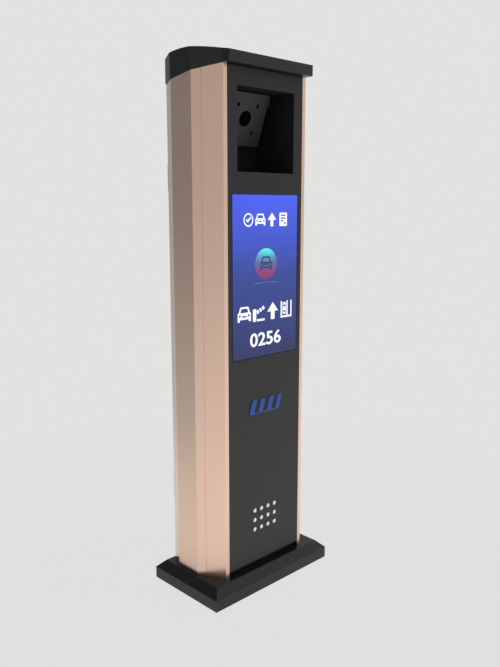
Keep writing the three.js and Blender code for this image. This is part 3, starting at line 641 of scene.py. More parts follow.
class Growth(Wiring):  # a geometry node tree with named inputs, the first a shape and the last a material
    def __init__(self, name, inputs):
        tree = bpy.data.node_groups.new(name, "GeometryNodeTree")
        super().__init__(tree)
        for label, kind in {"Geometry": "Geometry", **inputs, "Material": "Material"}.items():
            tree.interface.new_socket(label, in_out="INPUT", socket_type="NodeSocket" + kind)
        tree.interface.new_socket("Geometry", in_out="OUTPUT", socket_type="NodeSocketGeometry")
        sockets = self.node("NodeGroupInput").socket.node.outputs
        self.given = {socket.name: Wire(self, socket) for socket in sockets if socket.name}

    def vectors(self, operation, first, second):
        return self.node("ShaderNodeVectorMath", {"operation": operation},
                         {0: first, "Scale" if operation == "SCALE" else 1: second})

    def copies(self, points, **values):
        return self.node("GeometryNodeInstanceOnPoints", values={"Points": points,
                                                                 "Instance": self.given["Geometry"], **values})

    def finished(self, geometry):
        real = self.node("GeometryNodeRealizeInstances", values={0: geometry})
        painted = self.node("GeometryNodeSetMaterial", values={0: real, "Material": self.given["Material"]})
        self.node("NodeGroupOutput", values={0: painted})
        return self.tree


def latticeTree():
    # Copies of the shape at Count X by Count Z places, Step apart, from Start on.
    tree = Growth("lattice", {"Count X": "Int", "Count Z": "Int", "Start": "Vector", "Step X": "Vector",
                              "Step Z": "Vector"})
    given = tree.given
    index = tree.node("GeometryNodeInputIndex")
    aside = tree.vectors("SCALE", given["Step X"], index % given["Count X"])
    upward = tree.vectors("SCALE", given["Step Z"], math.floor(index / given["Count X"]))
    spot = tree.vectors("ADD", tree.vectors("ADD", aside, upward), given["Start"])
    points = tree.node("GeometryNodePoints", values={"Count": given["Count X"] * given["Count Z"],
                                                     "Position": spot})
    return tree.finished(tree.copies(points))


def ringTree():
    # Copies of the shape, turned evenly about an axis along Y through Middle.
    tree = Growth("ring", {"Count": "Int", "Middle": "Vector"})
    given = tree.given
    points = tree.node("GeometryNodePoints", values={"Count": given["Count"], "Position": given["Middle"]})
    turn = tree.node("GeometryNodeInputIndex") / given["Count"] * (2 * math.pi)
    spin = tree.node("ShaderNodeCombineXYZ", values={1: turn})
    return tree.finished(tree.copies(points, Rotation=spin))


def sectionTree():
    # A flat section drawn up the column and trimmed to its sloping top edge.
    tree = Growth("columnSection", {"Height": "Float", "Front": "Float", "Top Fall": "Float"})
    given = tree.given
    drawn = tree.node("GeometryNodeExtrudeMesh", {"mode": "FACES"},
                      {"Mesh": given["Geometry"], "Offset": (0, 0, 1), "Individual": False,
                       "Offset Scale": given["Height"]})
    flipped = tree.node("GeometryNodeFlipFaces", values={0: given["Geometry"]})
    whole = tree.node("GeometryNodeJoinGeometry")
    for part in (flipped, drawn):
        tree.tree.links.new(part.socket, whole.socket.node.inputs[0])
    welded = tree.node("GeometryNodeMergeByDistance", values={"Geometry": whole, "Distance": weld["made"]})
    _, back, up = tree.axes(tree.node("GeometryNodeInputPosition"))
    shift = tree.node("ShaderNodeCombineXYZ", values={2: (back - given["Front"]) * given["Top Fall"] * -1.0})
    trimmed = tree.node("GeometryNodeSetPosition", values={"Geometry": welded, "Selection": up > 0.5,
                                                           "Offset": shift})
    return tree.finished(trimmed)


trees = {"lattice": latticeTree(), "ring": ringTree(), "section": sectionTree()}


def grown(mesh, treeName, finish, **inputs):
    obj = linked("grown", mesh)
    modifier = obj.modifiers.new("nodes", "NODES")
    tree = trees[treeName]
    modifier.node_group = tree
    given = {key.lower(): value for key, value in inputs.items()}
    given["material"] = finishes[finish][1]
    for item in tree.interface.items_tree:
        label = item.name.replace(" ", "").lower()
        if item.in_out == "INPUT" and label in given:
            modifier[item.identifier] = given[label]
    return plainMesh(obj)


def rowOf(mesh, finish, count, start, step, rows=1, rise=0.0):
    # The shape repeated along X, and where there is more than one row, up Z.
    return grown(mesh, "lattice", finish, countX=count, countZ=rows, start=start, stepX=(step, 0, 0),
                 stepZ=(0, 0, rise))


# The column: corner profiles, side shells and the panel between them.

column = {"bend": 0.0024, "lip": 0.0005, "lipWidth": 0.006, "edge": 0.0004, "topPoints": 1.2, "notchFrom": 0.02,
          "notchDepth": 0.0085, "past": 0.01}
panel = {"edge": 0.0009, "corner": 0.001, "sideGap": 0.0004, "gap": 0.0003, "windowCorner": 0.0015}


def sectionOf(node):
    # The outline of a drawn node, read from the faces that close its upper end.
    work = mergedNode(node)
    upper = {face for face in work.faces
             if face.normal.z > 0.9 and face.calc_center_median().z > column["topPoints"]}
    after = {}
    for face in upper:
        for loop in face.loops:
            others = [f for f in loop.edge.link_faces if f is not face]
            if not others or others[0] not in upper:
                after[loop.vert] = loop.link_loop_next.vert
    vert = next(iter(after))
    points = []
    for _ in range(len(after)):
        points.append(Vector((vert.co.x, vert.co.y)))
        vert = after[vert]
    work.free()
    kept = []
    for i, here in enumerate(points):
        before, following = points[i - 1], points[(i + 1) % len(points)]
        if (here - before).angle(following - here) > math.radians(1):
            kept.append(here)
    return kept


def drawnSection(node, finish):
    section = sectionOf(node)
    radii = []
    for i, here in enumerate(section):
        shortest = min((here - section[i - 1]).length, (here - section[(i + 1) % len(section)]).length)
        radii.append(column["bend"] if shortest > column["lipWidth"] else column["lip"])
    outline = rounded(section, radii, 4)
    if area(outline) < 0:
        outline.reverse()
    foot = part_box(node)[0].z
    mesh = bpy.data.meshes.new(node)
    mesh.from_pydata([(x, y, foot) for x, y in outline], [], [list(range(len(outline)))])
    tops = [vertex.co for vertex in nodes[node].data.vertices if vertex.co.z > column["topPoints"]]
    front, rear = min(tops, key=lambda v: v.y), max(tops, key=lambda v: v.y)
    fall = (front.z - rear.z) / (rear.y - front.y)
    return cleaned(grown(mesh, "section", finish, height=front.z - foot, front=front.y, topFall=fall))


def addColumn():
    panelLow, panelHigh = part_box("front_panel")
    past = column["past"]
    for side, sign in (("left", -1), ("right", 1)):
        low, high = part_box("corner_profile_" + side)
        # The lip behind the panel stops at the panel's foot, so that the kick plate stays open.
        across = sorted((sign * column["notchFrom"], sign * (panelHigh.x + panel["gap"])))
        notch = brick(*across, low.y - past, low.y + column["notchDepth"], low.z - past, panelLow.z, 0.0001)
        profile = carved(drawnSection("corner_profile_" + side, "gold"), [notch])
        shell = drawnSection("side_shell_" + side, "gold")
        for name, mesh, node in (("cornerProfile.", profile, "corner_profile_"),
                                 ("sideShell.", shell, "side_shell_")):
            piece(name + side, mesh, "gold", (node + side,), bevel=column["edge"], angle=40, segments=1)
    # the kick plate's recess finish is darkened as painted shade under the panel
    softened("kick_plate", "kickPlate", "recess", 0.0005)
    print("column drawn")


grille = {"columns": 4, "rows": 3, "stepX": 0.0286, "stepZ": 0.0306, "radius": 0.007, "slack": 0.0003,
          "dome": 0.0012, "plateWall": 0.003, "plateCorner": 0.004, "overlap": 0.001}
recess = {"flange": 0.014, "roof": 0.003, "wall": 0.002, "corner": 0.0015, "flangeCorner": 0.002,
          "cableUp": 0.040, "cableHole": 0.010}


def recessOpening():
    low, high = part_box("camera_niche")
    flange = recess["flange"]
    return low.x + flange, high.x - flange, low.z + flange, high.z - recess["roof"]


def pegPlaces():
    middle = middleOf(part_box("speaker_insert"))
    return [(middle.x + (i - (grille["columns"] - 1) / 2) * grille["stepX"],
             middle.z + (j - (grille["rows"] - 1) / 2) * grille["stepZ"])
            for j in range(grille["rows"]) for i in range(grille["columns"])]


def addFrontPanel():
    low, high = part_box("front_panel")
    gap, side, corner = panel["gap"], panel["sideGap"], panel["windowCorner"]
    outline = rectangle(low.x + side, high.x - side, low.z, high.z, panel["corner"], 3)
    window = frontOf(*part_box("screen_glass"), -gap, corner, 4)
    opening = rectangle(*recessOpening(), corner, 4)
    pegHoles = [circle(x, z, grille["radius"], 40) for x, z in pegPlaces()]
    mesh = slab(outline, low.y, high.y, "y", panel["edge"], [window, opening, *pegHoles], 2)
    piece("frontPanel", mesh, "panel", ("front_panel",))

    low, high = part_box("speaker_insert")
    radius, foot = grille["radius"] - grille["slack"], high.y - grille["overlap"]
    dome = [(radius * math.sin(a), low.y - grille["dome"] * (math.cos(a) - 1)) for a in quarter(6)]
    peg = turned([*dome, (radius, foot), (0, foot)], axis="y", sides=32)
    x, z = pegPlaces()[0]
    pegs = rowOf(peg, "white", grille["columns"], (x, 0, z), grille["stepX"], grille["rows"], grille["stepZ"])
    backing = slab(frontOf(low, high, 0, grille["plateCorner"], 4), high.y - grille["plateWall"], high.y, "y")
    piece("speakerInsert", joined(pegs, backing), "white", ("speaker_insert",))
    print("front panel with", len(pegHoles), "pegs")


badge = {"bars": 4, "stroke": 0.020, "lean": 0.014, "underline": 0.006, "corner": 0.0012, "edge": 0.0016}


def addBadge():
    low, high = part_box("badge")
    stroke, lean = badge["stroke"], badge["lean"]
    slope = lean / (high.z - low.z)
    step = (high.x - low.x - stroke - lean) / (badge["bars"] - 1)
    foot = low.z + badge["underline"]
    points = [(low.x, low.z), (high.x - lean, low.z)]
    for i in reversed(range(badge["bars"])):
        x = low.x + i * step
        for corner, z in ((stroke, foot), (stroke, high.z), (0, high.z), (0, foot)):
            if i or corner or z > foot:
                points.append((x + corner + slope * (z - low.z), z))
    mesh = slab(rounded(points, badge["corner"], 3), low.y, high.y, "y", badge["edge"], steps=3)
    piece("badge", mesh, "blue", ("badge",))


# What the screen shows. A sign is a list of shapes one unit high, each an outline and its holes.

signs = {"rowHigh": (1.105, 1.146, 0.192), "rowLow": (0.829, 0.882, 0.236), "digits": (0.755, 0.796, 0.130),
         "number": "0256", "disc": (0.9975, 0.0455), "car": (0.9735, 0.050), "carProud": 0.000108,
         "line": (0.941, 0.050), "bow": 0.003, "bowWidth": 0.0011, "proud": 0.00012, "thick": 0.0001,
         "edge": 0.00002, "letterDepth": 0.02, "letterWeight": 0.018}
glass = {"corner": 0.0012, "edge": 0.0004}


def glyphSlab(outline, holes=()):
    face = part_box("screen_glass")[0].y - signs["proud"]
    return slab(outline, face, face + signs["thick"], "y", signs["edge"], holes, 0)


def drawnSign(shapes, x, z, size):
    placed = [[[(x + a * size, z + b * size) for a, b in loop] for loop in shape] for shape in shapes]
    return joined(*[glyphSlab(outline, holes) for outline, *holes in placed])


def carSign():  # a car from the front
    body = rounded([(-0.5, 0.1), (-0.34, 0.1), (-0.34, 0.22), (0.34, 0.22), (0.34, 0.1), (0.5, 0.1),
                    (0.5, 0.55), (0.42, 0.62), (0.30, 0.92), (-0.30, 0.92), (-0.42, 0.62), (-0.5, 0.55)],
                   0.04, 3)
    pane = rounded([(-0.30, 0.60), (0.30, 0.60), (0.22, 0.82), (-0.22, 0.82)], 0.03, 3)
    lights = [circle(side * 0.34, 0.43, 0.07, 16) for side in (-1, 1)]
    return [[body, pane, *lights, rectangle(-0.18, 0.18, 0.34, 0.42)]]


def arrowSign():
    return [[[(-0.15, 0.02), (0.15, 0.02), (0.15, 0.48), (0.44, 0.48), (0.0, 0.99), (-0.44, 0.48),
              (-0.15, 0.48)]]]


def gateSign():  # a barrier with its arm half raised
    tilt = Matrix.Rotation(math.radians(24), 2)
    shapes = [[rectangle(-0.46, -0.20, 0.02, 0.72, 0.04, 3)], [rectangle(-0.14, 0.46, 0.02, 0.14)]]
    for k in range(3):
        start = -0.17 + k * 0.235
        stripe = rectangle(start, start + 0.17, -0.10, 0.10)
        shapes.append([[tuple(tilt @ Vector(point) + Vector((0.0, 0.58))) for point in stripe]])
    return shapes


def ticketSign():
    return [[rectangle(-0.40, 0.40, 0.02, 0.98, 0.07, 3), rectangle(-0.26, 0.26, 0.74, 0.84),
             rectangle(-0.26, 0.26, 0.54, 0.64), rectangle(-0.26, 0.04, 0.34, 0.44),
             circle(0.18, 0.22, 0.09, 16)]]


def baySign():  # parking bays from above, one taken
    shapes = [[rectangle(a - 0.05, a + 0.05, 0.02, 0.98)] for a in (-0.41, 0.08, 0.41)]
    shapes.append([rectangle(-0.37, 0.37, 0.02, 0.13)])
    shapes.append([rectangle(-0.30, -0.03, 0.22, 0.90, 0.06, 3), rectangle(-0.25, -0.08, 0.64, 0.76),
                   rectangle(-0.25, -0.08, 0.33, 0.42)])
    return shapes


def tickSign():
    tick = [(-0.24, 0.50), (-0.07, 0.31), (0.26, 0.62), (0.18, 0.72), (-0.06, 0.48), (-0.16, 0.59)]
    return [[circle(0, 0.5, 0.47, 40), circle(0, 0.5, 0.37, 40)], [tick]]


def signRow(place, row):
    z0, z1, width = signs[place]
    step = width / len(row)
    return [drawnSign(sign(), -width / 2 + step * (i + 0.5), z0, z1 - z0) for i, sign in enumerate(row)]


def digitMesh(text, low, high, width):
    curve = bpy.data.curves.new("digits", "FONT")
    curve.body = text
    curve.size = 1
    curve.offset = signs["letterWeight"]
    curve.extrude = signs["letterDepth"]
    mesh = plainMesh(linked("digits", curve))
    across, up, _ = zip(*[vertex.co for vertex in mesh.vertices])
    thick = signs["thick"]
    fitTo = Matrix.Diagonal((width / (max(across) - min(across)), (high - low) / (max(up) - min(up)),
                             thick / (2 * signs["letterDepth"]), 1))
    centre = Matrix.Translation((-(min(across) + max(across)) / 2, -min(up), 0))
    lift = Matrix.Translation((0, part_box("screen_glass")[0].y - signs["proud"] + thick / 2, low))
    return cleaned(mesh, lift @ facing["y"] @ fitTo @ centre)


def addScreen():
    low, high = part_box("screen_glass")
    sheet = slab(frontOf(low, high, 0, glass["corner"], 4), low.y, high.y, "y", glass["edge"], steps=2)
    piece("screenGlass", sheet, "picture", ("screen_glass",))
    glyphs = signRow("rowHigh", [tickSign, carSign, arrowSign, ticketSign])
    glyphs += signRow("rowLow", [carSign, gateSign, arrowSign, baySign])
    glyphs.append(digitMesh(signs["number"], *signs["digits"]))
    piece("screenSigns", joined(*glyphs), "glyph")

    z, radius = signs["disc"]
    finishes["disc"] = ("screen_glass", discPaint(z, radius))
    piece("screenDisc", glyphSlab(circle(0, z, radius, 72)), "disc")
    car = drawnSign(carSign(), 0, *signs["car"])
    car.transform(Matrix.Translation((0, -signs["carProud"], 0)))
    piece("screenDiscCar", car, "navy")
    z, half = signs["line"]
    bow = [(half * t / 12, z + signs["bow"] * math.cos(math.pi / 2 * t / 12)) for t in range(-12, 13)]
    bow += [(x, y - signs["bowWidth"]) for x, y in reversed(bow)]
    piece("screenLine", glyphSlab(bow), "paleBlue")
    print("screen drawn")


addColumn()
addFrontPanel()
addBadge()
addScreen()
softened("base_plinth", "plinth", "black", 0.0012, 20, 3)
softened("top_cap", "cap", "black", 0.0016, 15, 3)


# Fixings.

def panScrew(radius, height, socket="cross", turn=None):
    # A domed head with a driver recess, which stands on z = 0, or is turned to lie some other way.
    edge = 0.00003
    rise = height * 0.35
    dome = [(radius * math.cos(a), rise + (height - rise) * math.sin(a)) for a in quarter(5)[:5]]
    head = turned([(0, -height * 0.3), (radius, -height * 0.3), (radius, rise), *dome[1:], (0, height)],
                  sides=20)
    arm, floor, top = radius * 0.55, height * 0.45, height * 2
    if socket == "cross":
        width = radius * 0.13
        tools = [brick(-arm, arm, -width, width, floor, top, edge),
                 brick(-width, width, -arm, arm, floor, top, edge)]
    else:
        tools = [slab(circle(0, 0, arm, 6), floor, top, edge=edge)]
    screw = carved(head, tools)
    if turn:
        screw.transform(turn)
    return screw


rearward = Matrix.Rotation(math.radians(-90), 4, "X")  # turns a head that looks up to look to the back
columnBolt = {"shank": 0.006, "tip": 0.001, "washer": 0.0125, "washerHeight": 0.0025, "washerEdge": 0.0004,
              "head": 0.0104, "headHeight": 0.008, "cone": 0.02, "chamfer": 0.0045, "overlap": 0.0003}
capScrew = {"shank": 0.003, "tip": 0.0006, "head": 0.005, "headHeight": 0.005, "headEdge": 0.0005,
            "socket": 0.0024, "socketDepth": 0.003}


def fourOf(name, mesh, node):
    # The shape at the places of the node's four copies, the first and the last in opposite corners.
    first, span = middleOf(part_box(node + "1")), middleOf(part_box(node + "4")) - middleOf(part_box(node + "1"))
    four = grown(mesh, "lattice", "steel", countX=2, countZ=2, start=(first.x, first.y, 0),
                 stepX=(span.x, 0, 0), stepZ=(0, span.y, 0))
    piece(name, four, "steel", [node + str(i) for i in range(1, 5)])


def addBolts():
    low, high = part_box("column_bolt_1")
    seat = high.z - columnBolt["headHeight"] - columnBolt["washerHeight"]
    top = seat + columnBolt["washerHeight"]
    shank, tip, washer, edge = (columnBolt[key] for key in ("shank", "tip", "washer", "washerEdge"))
    stem = turned([(0, low.z), (shank - tip, low.z), (shank, low.z + tip), (shank, seat), (washer, seat),
                   (washer, top - edge), (washer - edge, top), (0, top)])
    head = columnBolt["head"]
    hexagon = slab(circle(0, 0, head, 6), top - columnBolt["overlap"], high.z)
    wide, bevelled = columnBolt["cone"], head * 0.9
    cone = turned([(0, 0), (wide, 0), (wide, high.z - columnBolt["chamfer"]), (bevelled, high.z),
                   (0, high.z)], sides=48)
    fourOf("columnBolts", joined(stem, carved(hexagon, [cone], "INTERSECT")), "column_bolt_")

    low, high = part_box("cap_screw_1")
    seat = low.z + capScrew["headHeight"]
    head, edge, shank, tip = (capScrew[key] for key in ("head", "headEdge", "shank", "tip"))
    screw = turned([(0, low.z), (head - edge, low.z), (head, low.z + edge), (head, seat), (shank, seat),
                    (shank, high.z - tip), (shank - tip, high.z), (0, high.z)], sides=32)
    key = slab(circle(0, 0, capScrew["socket"], 6), low.z - capScrew["headHeight"],
               low.z + capScrew["socketDepth"], edge=0.00003)
    fourOf("capScrews", carved(screw, [key]), "cap_screw_")


# The camera recess, its yoke and its tilting plate.

cameraPlate = {"above": 0.074, "below": 0.080, "wall": 0.0025, "corner": 0.003, "hole": 0.023, "fixing": 0.0384,
               "fixingHole": 0.0055, "cheek": 0.014, "cheekFoot": 0.036, "cheekTop": 0.068, "cheekCorner": 0.005,
               "pivotBack": 0.007, "pivotUp": 0.052, "pivotHole": 0.0033, "screwHead": 0.0055,
               "screwHeight": 0.0034, "screwShank": 0.003, "edge": 0.0005}


def plateFrame():
    # From the plate's own axes, where y = 0 is its face, to the part's.
    mount = mounts["camera_plate_face"]
    aside = Vector((1, 0, 0))
    inward = -Vector(mount["axis"])
    turn = Matrix((aside, inward, aside.cross(inward))).transposed().to_4x4()
    return Matrix.Translation((0, mount["pos_m"][1], mount["pos_m"][2])) @ turn


def addRecessBox():
    low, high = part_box("camera_niche")
    x0, x1, z0, z1 = recessOpening()
    wall, radius = recess["wall"], recess["corner"]
    opening = rectangle(x0, x1, z0, z1, radius, 4)
    tube = slab(rectangle(x0 - wall, x1 + wall, z0 - wall, z1 + wall, radius + wall, 4), low.y, high.y, "y",
                0.0002, [opening])
    flange = slab(frontOf(low, high, 0, recess["flangeCorner"], 3), low.y, low.y + wall, "y", 0.0004, [opening])
    hole = circle(x0 / 2, z0 + recess["cableUp"], recess["cableHole"], 36)
    half = wall / 2
    rear = slab(rectangle(x0 - half, x1 + half, z0 - half, z1 + half), high.y - wall, high.y - 0.0001, "y",
                0.0003, [hole])
    # the recess finish is darkened as painted shade inside the niche
    piece("recessBox", joined(tube, flange, rear), "recess", ("camera_niche",))
    softened("camera_yoke", "cameraYoke", "bracket", 0.0004)


def addCameraPlate():
    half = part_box("camera_plate")[1].x
    wall, fixing, corner = cameraPlate["wall"], cameraPlate["fixing"], cameraPlate["cheekCorner"]
    holes = [circle(0, 0, cameraPlate["hole"], 72)]
    holes += [circle(a * fixing, b * fixing, cameraPlate["fixingHole"], 28) for a in (-1, 1) for b in (-1, 1)]
    face = slab(rectangle(-half, half, -cameraPlate["below"], cameraPlate["above"], cameraPlate["corner"], 5),
                0, wall, "y", cameraPlate["edge"], holes, 2)
    root, depth, foot, top = wall * 0.4, cameraPlate["cheek"], cameraPlate["cheekFoot"], cameraPlate["cheekTop"]
    cheek = rounded([(root, foot), (depth, foot), (depth, top), (root, top)], [0.0002, corner, corner, 0.0002])
    pin = circle(cameraPlate["pivotBack"], cameraPlate["pivotUp"], cameraPlate["pivotHole"], 28)
    cheeks = [slab(cheek, a, a + wall, "x", holes=[pin]) for a in (half - wall, -half)]
    plate = joined(face, *cheeks)
    plate.transform(plateFrame())
    piece("cameraPlate", plate, "bracket", ("camera_plate",), "camera_tilt")


def addPivotScrews():
    height, shank, edge = cameraPlate["screwHeight"], cameraPlate["screwShank"], 0.0003
    for side, sign in (("left", -1), ("right", 1)):
        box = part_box("pivot_screw_" + side)
        centre = middleOf(box)
        length = box[1].x - box[0].x - height
        end = [(shank - edge + edge * math.sin(a), edge - edge * math.cos(a)) for a in quarter(3)]
        stem = turned([(0, -length), *[(r, z - length) for r, z in end],
                       *[(r, 0.0004 - z) for r, z in reversed(end)], (0, 0.0004)], sides=28)
        screw = joined(panScrew(cameraPlate["screwHead"], height, "hex"), stem)
        seat = centre.x + sign * (length - height) / 2
        screw.transform(Matrix.Translation((seat, centre.y, centre.z)) @
                        Matrix.Rotation(math.radians(90) * sign, 4, "Y"))
        piece("pivotScrew." + side, screw, "steel", ("pivot_screw_" + side,), "camera_tilt")
    print("camera recess, yoke and plate")


# The service door, its seal, hinges, lock and fan.

serviceDoor = {"wall": 0.002, "corner": 0.003, "edge": 0.0007, "slotPitch": 0.014, "slotHeight": 0.006,
               "lowCount": 8, "lowWidth": 0.120, "lowAbove": 0.170, "highCount": 5, "highWidth": 0.0602,
               "lockHole": 0.0098, "rimOverlap": 0.0006, "rimCorner": 0.0015}
seal = {"width": 0.013, "corner": 0.004, "round": 0.0013}


def slotRow(middle, count, width):
    half, pitch = serviceDoor["slotHeight"] / 2, serviceDoor["slotPitch"]
    heights = [middle + (i - (count - 1) / 2) * pitch for i in range(count)]
    return [rectangle(-width / 2, width / 2, z - half, z + half, half * 0.98) for z in heights]


def addDoor():
    low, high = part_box("rear_door")
    lockAt = Vector(joints["lock_turn"]["pos_m"])
    fanAt = Vector(joints["fan_spin"]["pos_m"])
    corner = serviceDoor["corner"]
    holes = slotRow(low.z + serviceDoor["lowAbove"], serviceDoor["lowCount"], serviceDoor["lowWidth"])
    holes += slotRow(fanAt.z, serviceDoor["highCount"], serviceDoor["highWidth"])
    holes.append(circle(lockAt.x, lockAt.z, serviceDoor["lockHole"], 40))
    skin = slab(frontOf(low, high, 0, corner), low.y, high.y, "y", serviceDoor["edge"], holes, 2)
    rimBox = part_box("door_rim")
    hollow = frontOf(*rimBox, serviceDoor["wall"], serviceDoor["rimCorner"], 3)
    rim = slab(frontOf(*rimBox, 0, corner), rimBox[0].y, low.y + serviceDoor["rimOverlap"], "y", holes=[hollow])
    piece("serviceDoor", joined(skin, rim), "goldSheet", ("rear_door", "door_rim"), "door")
    softened("rear_header", "rearHeader", "goldSheet", 0.0004, segments=1)
    softened("rear_sill", "rearSill", "goldSheet", 0.0004, segments=1)
    low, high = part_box("door_seal")
    hollow = frontOf(low, high, seal["width"], seal["corner"], 4)
    strip = slab(frontOf(low, high, 0, seal["corner"], 4), low.y, high.y, "y", seal["round"], [hollow], 3)
    piece("doorSeal", strip, "rubber", ("door_seal",))
    print("door, header, sill and seal")


hinge = {"barrel": 0.0045, "pin": 0.0022, "slack": 0.0008, "bore": 0.0001, "leaf": 0.002, "corner": 0.003,
         "edge": 0.0003, "knuckleEdge": 0.0004, "frameScrew": 0.0022, "doorScrew": 0.0036, "screwEnd": 0.014,
         "screwHeight": 0.42, "pinHead": 0.0035, "pinHeadHeight": 0.0022}


def hingeLeaf(box, middle, own, sign):
    # One leaf with its own knuckles of the three, reaching from the pin towards `sign` along X.
    low, high = box
    slack, wall = hinge["slack"], hinge["leaf"]
    knuckle = (high.z - low.z - 2 * slack) / 3
    far = low.x if sign < 0 else high.x
    near = middle.x + sign * (hinge["barrel"] + slack)
    outline = [(near, low.z), (far, low.z), (far, high.z), (near, high.z)]
    corners = [0.0002, hinge["corner"], hinge["corner"], 0.0002]
    parts = [slab(rounded(outline, corners, 4), low.y, low.y + wall, "y", hinge["edge"])]
    inner, outer, edge = hinge["pin"] + hinge["bore"], hinge["barrel"], hinge["knuckleEdge"]
    web = sorted((middle.x + sign * hinge["pin"] * 1.2, near + sign * 0.001))
    for i in own:
        bottom = low.z + i * (knuckle + slack)
        top = bottom + knuckle
        ring = [(inner, bottom), (outer - edge, bottom), (outer, bottom + edge), (outer, top - edge),
                (outer - edge, top), (inner, top)]
        parts.append(turned(ring, (middle.x, middle.y, 0), sides=32))
        parts.append(brick(*web, low.y + 0.0001, low.y + wall - 0.0001, bottom + 0.0002, top - 0.0002, 0.0001))
    return joined(*parts)


def hingeScrews(box, middle, sign, radius):
    low, high = box
    across = ((low.x if sign < 0 else high.x) + middle.x + sign * (hinge["barrel"] + hinge["slack"])) / 2
    end = hinge["screwEnd"]
    screws = []
    for k, z in enumerate((low.z + end, (low.z + high.z) / 2, high.z - end)):
        screw = panScrew(radius, radius * hinge["screwHeight"], turn=Matrix.Rotation(0.6 * k + z, 4, "Z"))
        screw.transform(Matrix.Translation((across, low.y + hinge["leaf"], z)) @ rearward)
        screws.append(screw)
    return joined(*screws)


def addHinges():
    middle = Vector(joints["door_hinge"]["pos_m"])
    halves = (("frame", "column", -1, (0, 2), hinge["frameScrew"]),
              ("door", "door", 1, (1,), hinge["doorScrew"]))
    for end in ("lower", "upper"):
        for part, body, sign, own, radius in halves:
            node = "hinge_%s_leaf_%s" % (part, end)
            low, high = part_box(node)
            box = (Vector((low.x, middle.y - hinge["barrel"], low.z)), high)
            piece("hinge%sLeaf.%s" % (part.title(), end), hingeLeaf(box, middle, own, sign), "steel", (node,),
                  body)
            piece("hinge%sScrews.%s" % (part.title(), end), hingeScrews(box, middle, sign, radius), "steel",
                  body=body, angle=35)
        low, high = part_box("hinge_pin_" + end)
        radius, cap, neck = hinge["pin"], hinge["pinHead"], high.z - hinge["pinHeadHeight"]
        tip = hinge["edge"]
        profile = [(0, low.z), (radius - tip, low.z), (radius, low.z + tip), (radius, neck), (cap, neck),
                   (cap, high.z - 4 * tip), (cap * 0.75, high.z - tip), (0, high.z)]
        piece("hingePin." + end, turned(profile, (middle.x, middle.y, 0), sides=28), "steel",
              ("hinge_pin_" + end,), angle=50)
    print("hinges")


lock = {"plug": 0.0063, "slack": 0.0002, "tube": 0.0095, "flange": 0.014, "flangeWall": 0.002, "stub": 0.0035,
        "slotHalf": 0.0008, "slotReach": 0.004, "slotDepth": 0.003, "camWidth": 0.010, "nut": 0.0056,
        "nutHeight": 0.0024}


def addLock():
    axis = Vector(joints["lock_turn"]["pos_m"])
    at = (axis.x, 0, axis.z)
    low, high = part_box("lock_housing")
    plugLow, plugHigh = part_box("lock_plug")
    camLow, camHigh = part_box("lock_cam")
    slack, flange, tube = lock["slack"], lock["flange"], lock["tube"]
    bore, seat = lock["plug"] + slack, high.y - lock["flangeWall"]
    ring = [(bore, low.y), (tube, low.y), (tube, seat), (flange, seat), (flange, high.y - 0.001),
            (flange - 0.0006, high.y - 0.0003), (flange - 0.0016, high.y), (bore + 0.0006, high.y),
            (bore, high.y - 0.0006)]
    piece("lockHousing", turned(ring, at, "y", 56), "steel", ("lock_housing",), "door", angle=40)
    plug, stub, tip = lock["plug"], lock["stub"], 0.0004
    profile = [(0, plugLow.y), (stub - tip, plugLow.y), (stub, plugLow.y + tip), (stub, camHigh.y + slack),
               (plug, camHigh.y + 0.0003), (plug, plugHigh.y - 0.0005), (plug - 0.0005, plugHigh.y),
               (0, plugHigh.y)]
    half, reach, depth = lock["slotHalf"], lock["slotReach"], lock["slotDepth"]
    slot = brick(axis.x - half, axis.x + half, plugHigh.y - depth, plugHigh.y + depth, axis.z - reach,
                 axis.z + reach, 0.0001)
    nut = slab(circle(axis.x, axis.z, lock["nut"], 6), camLow.y - lock["nutHeight"], camLow.y - 0.0001, "y",
               0.0003)
    core = joined(carved(turned(profile, at, "y", 48), [slot]), nut)
    piece("lockPlug", core, "steel", ("lock_plug",), "lock", angle=40)
    hole = circle(axis.x, axis.z, stub + slack, 28)
    cam = slab(frontOf(camLow, camHigh, 0, lock["camWidth"] / 2 * 0.85, 6), camLow.y, camHigh.y, "y", 0.0003,
               [hole])
    piece("lockCam", cam, "zinc", ("lock_cam",), "lock")
    print("lock")


doorFan = {"bore": 0.043, "tube": 0.0015, "flange": 0.004, "corner": 0.006, "hole": 0.0022, "holeInset": 0.0048,
           "hub": 0.017, "hubEdge": 0.0006, "spokes": 4, "spokeWidth": 0.004, "spokeWall": 0.003, "blades": 7,
           "tip": 0.041, "root": 0.0155, "pitch": 35, "chord": 0.022, "thick": 0.0013, "camber": 0.0022,
           "rows": 7, "columns": 9}


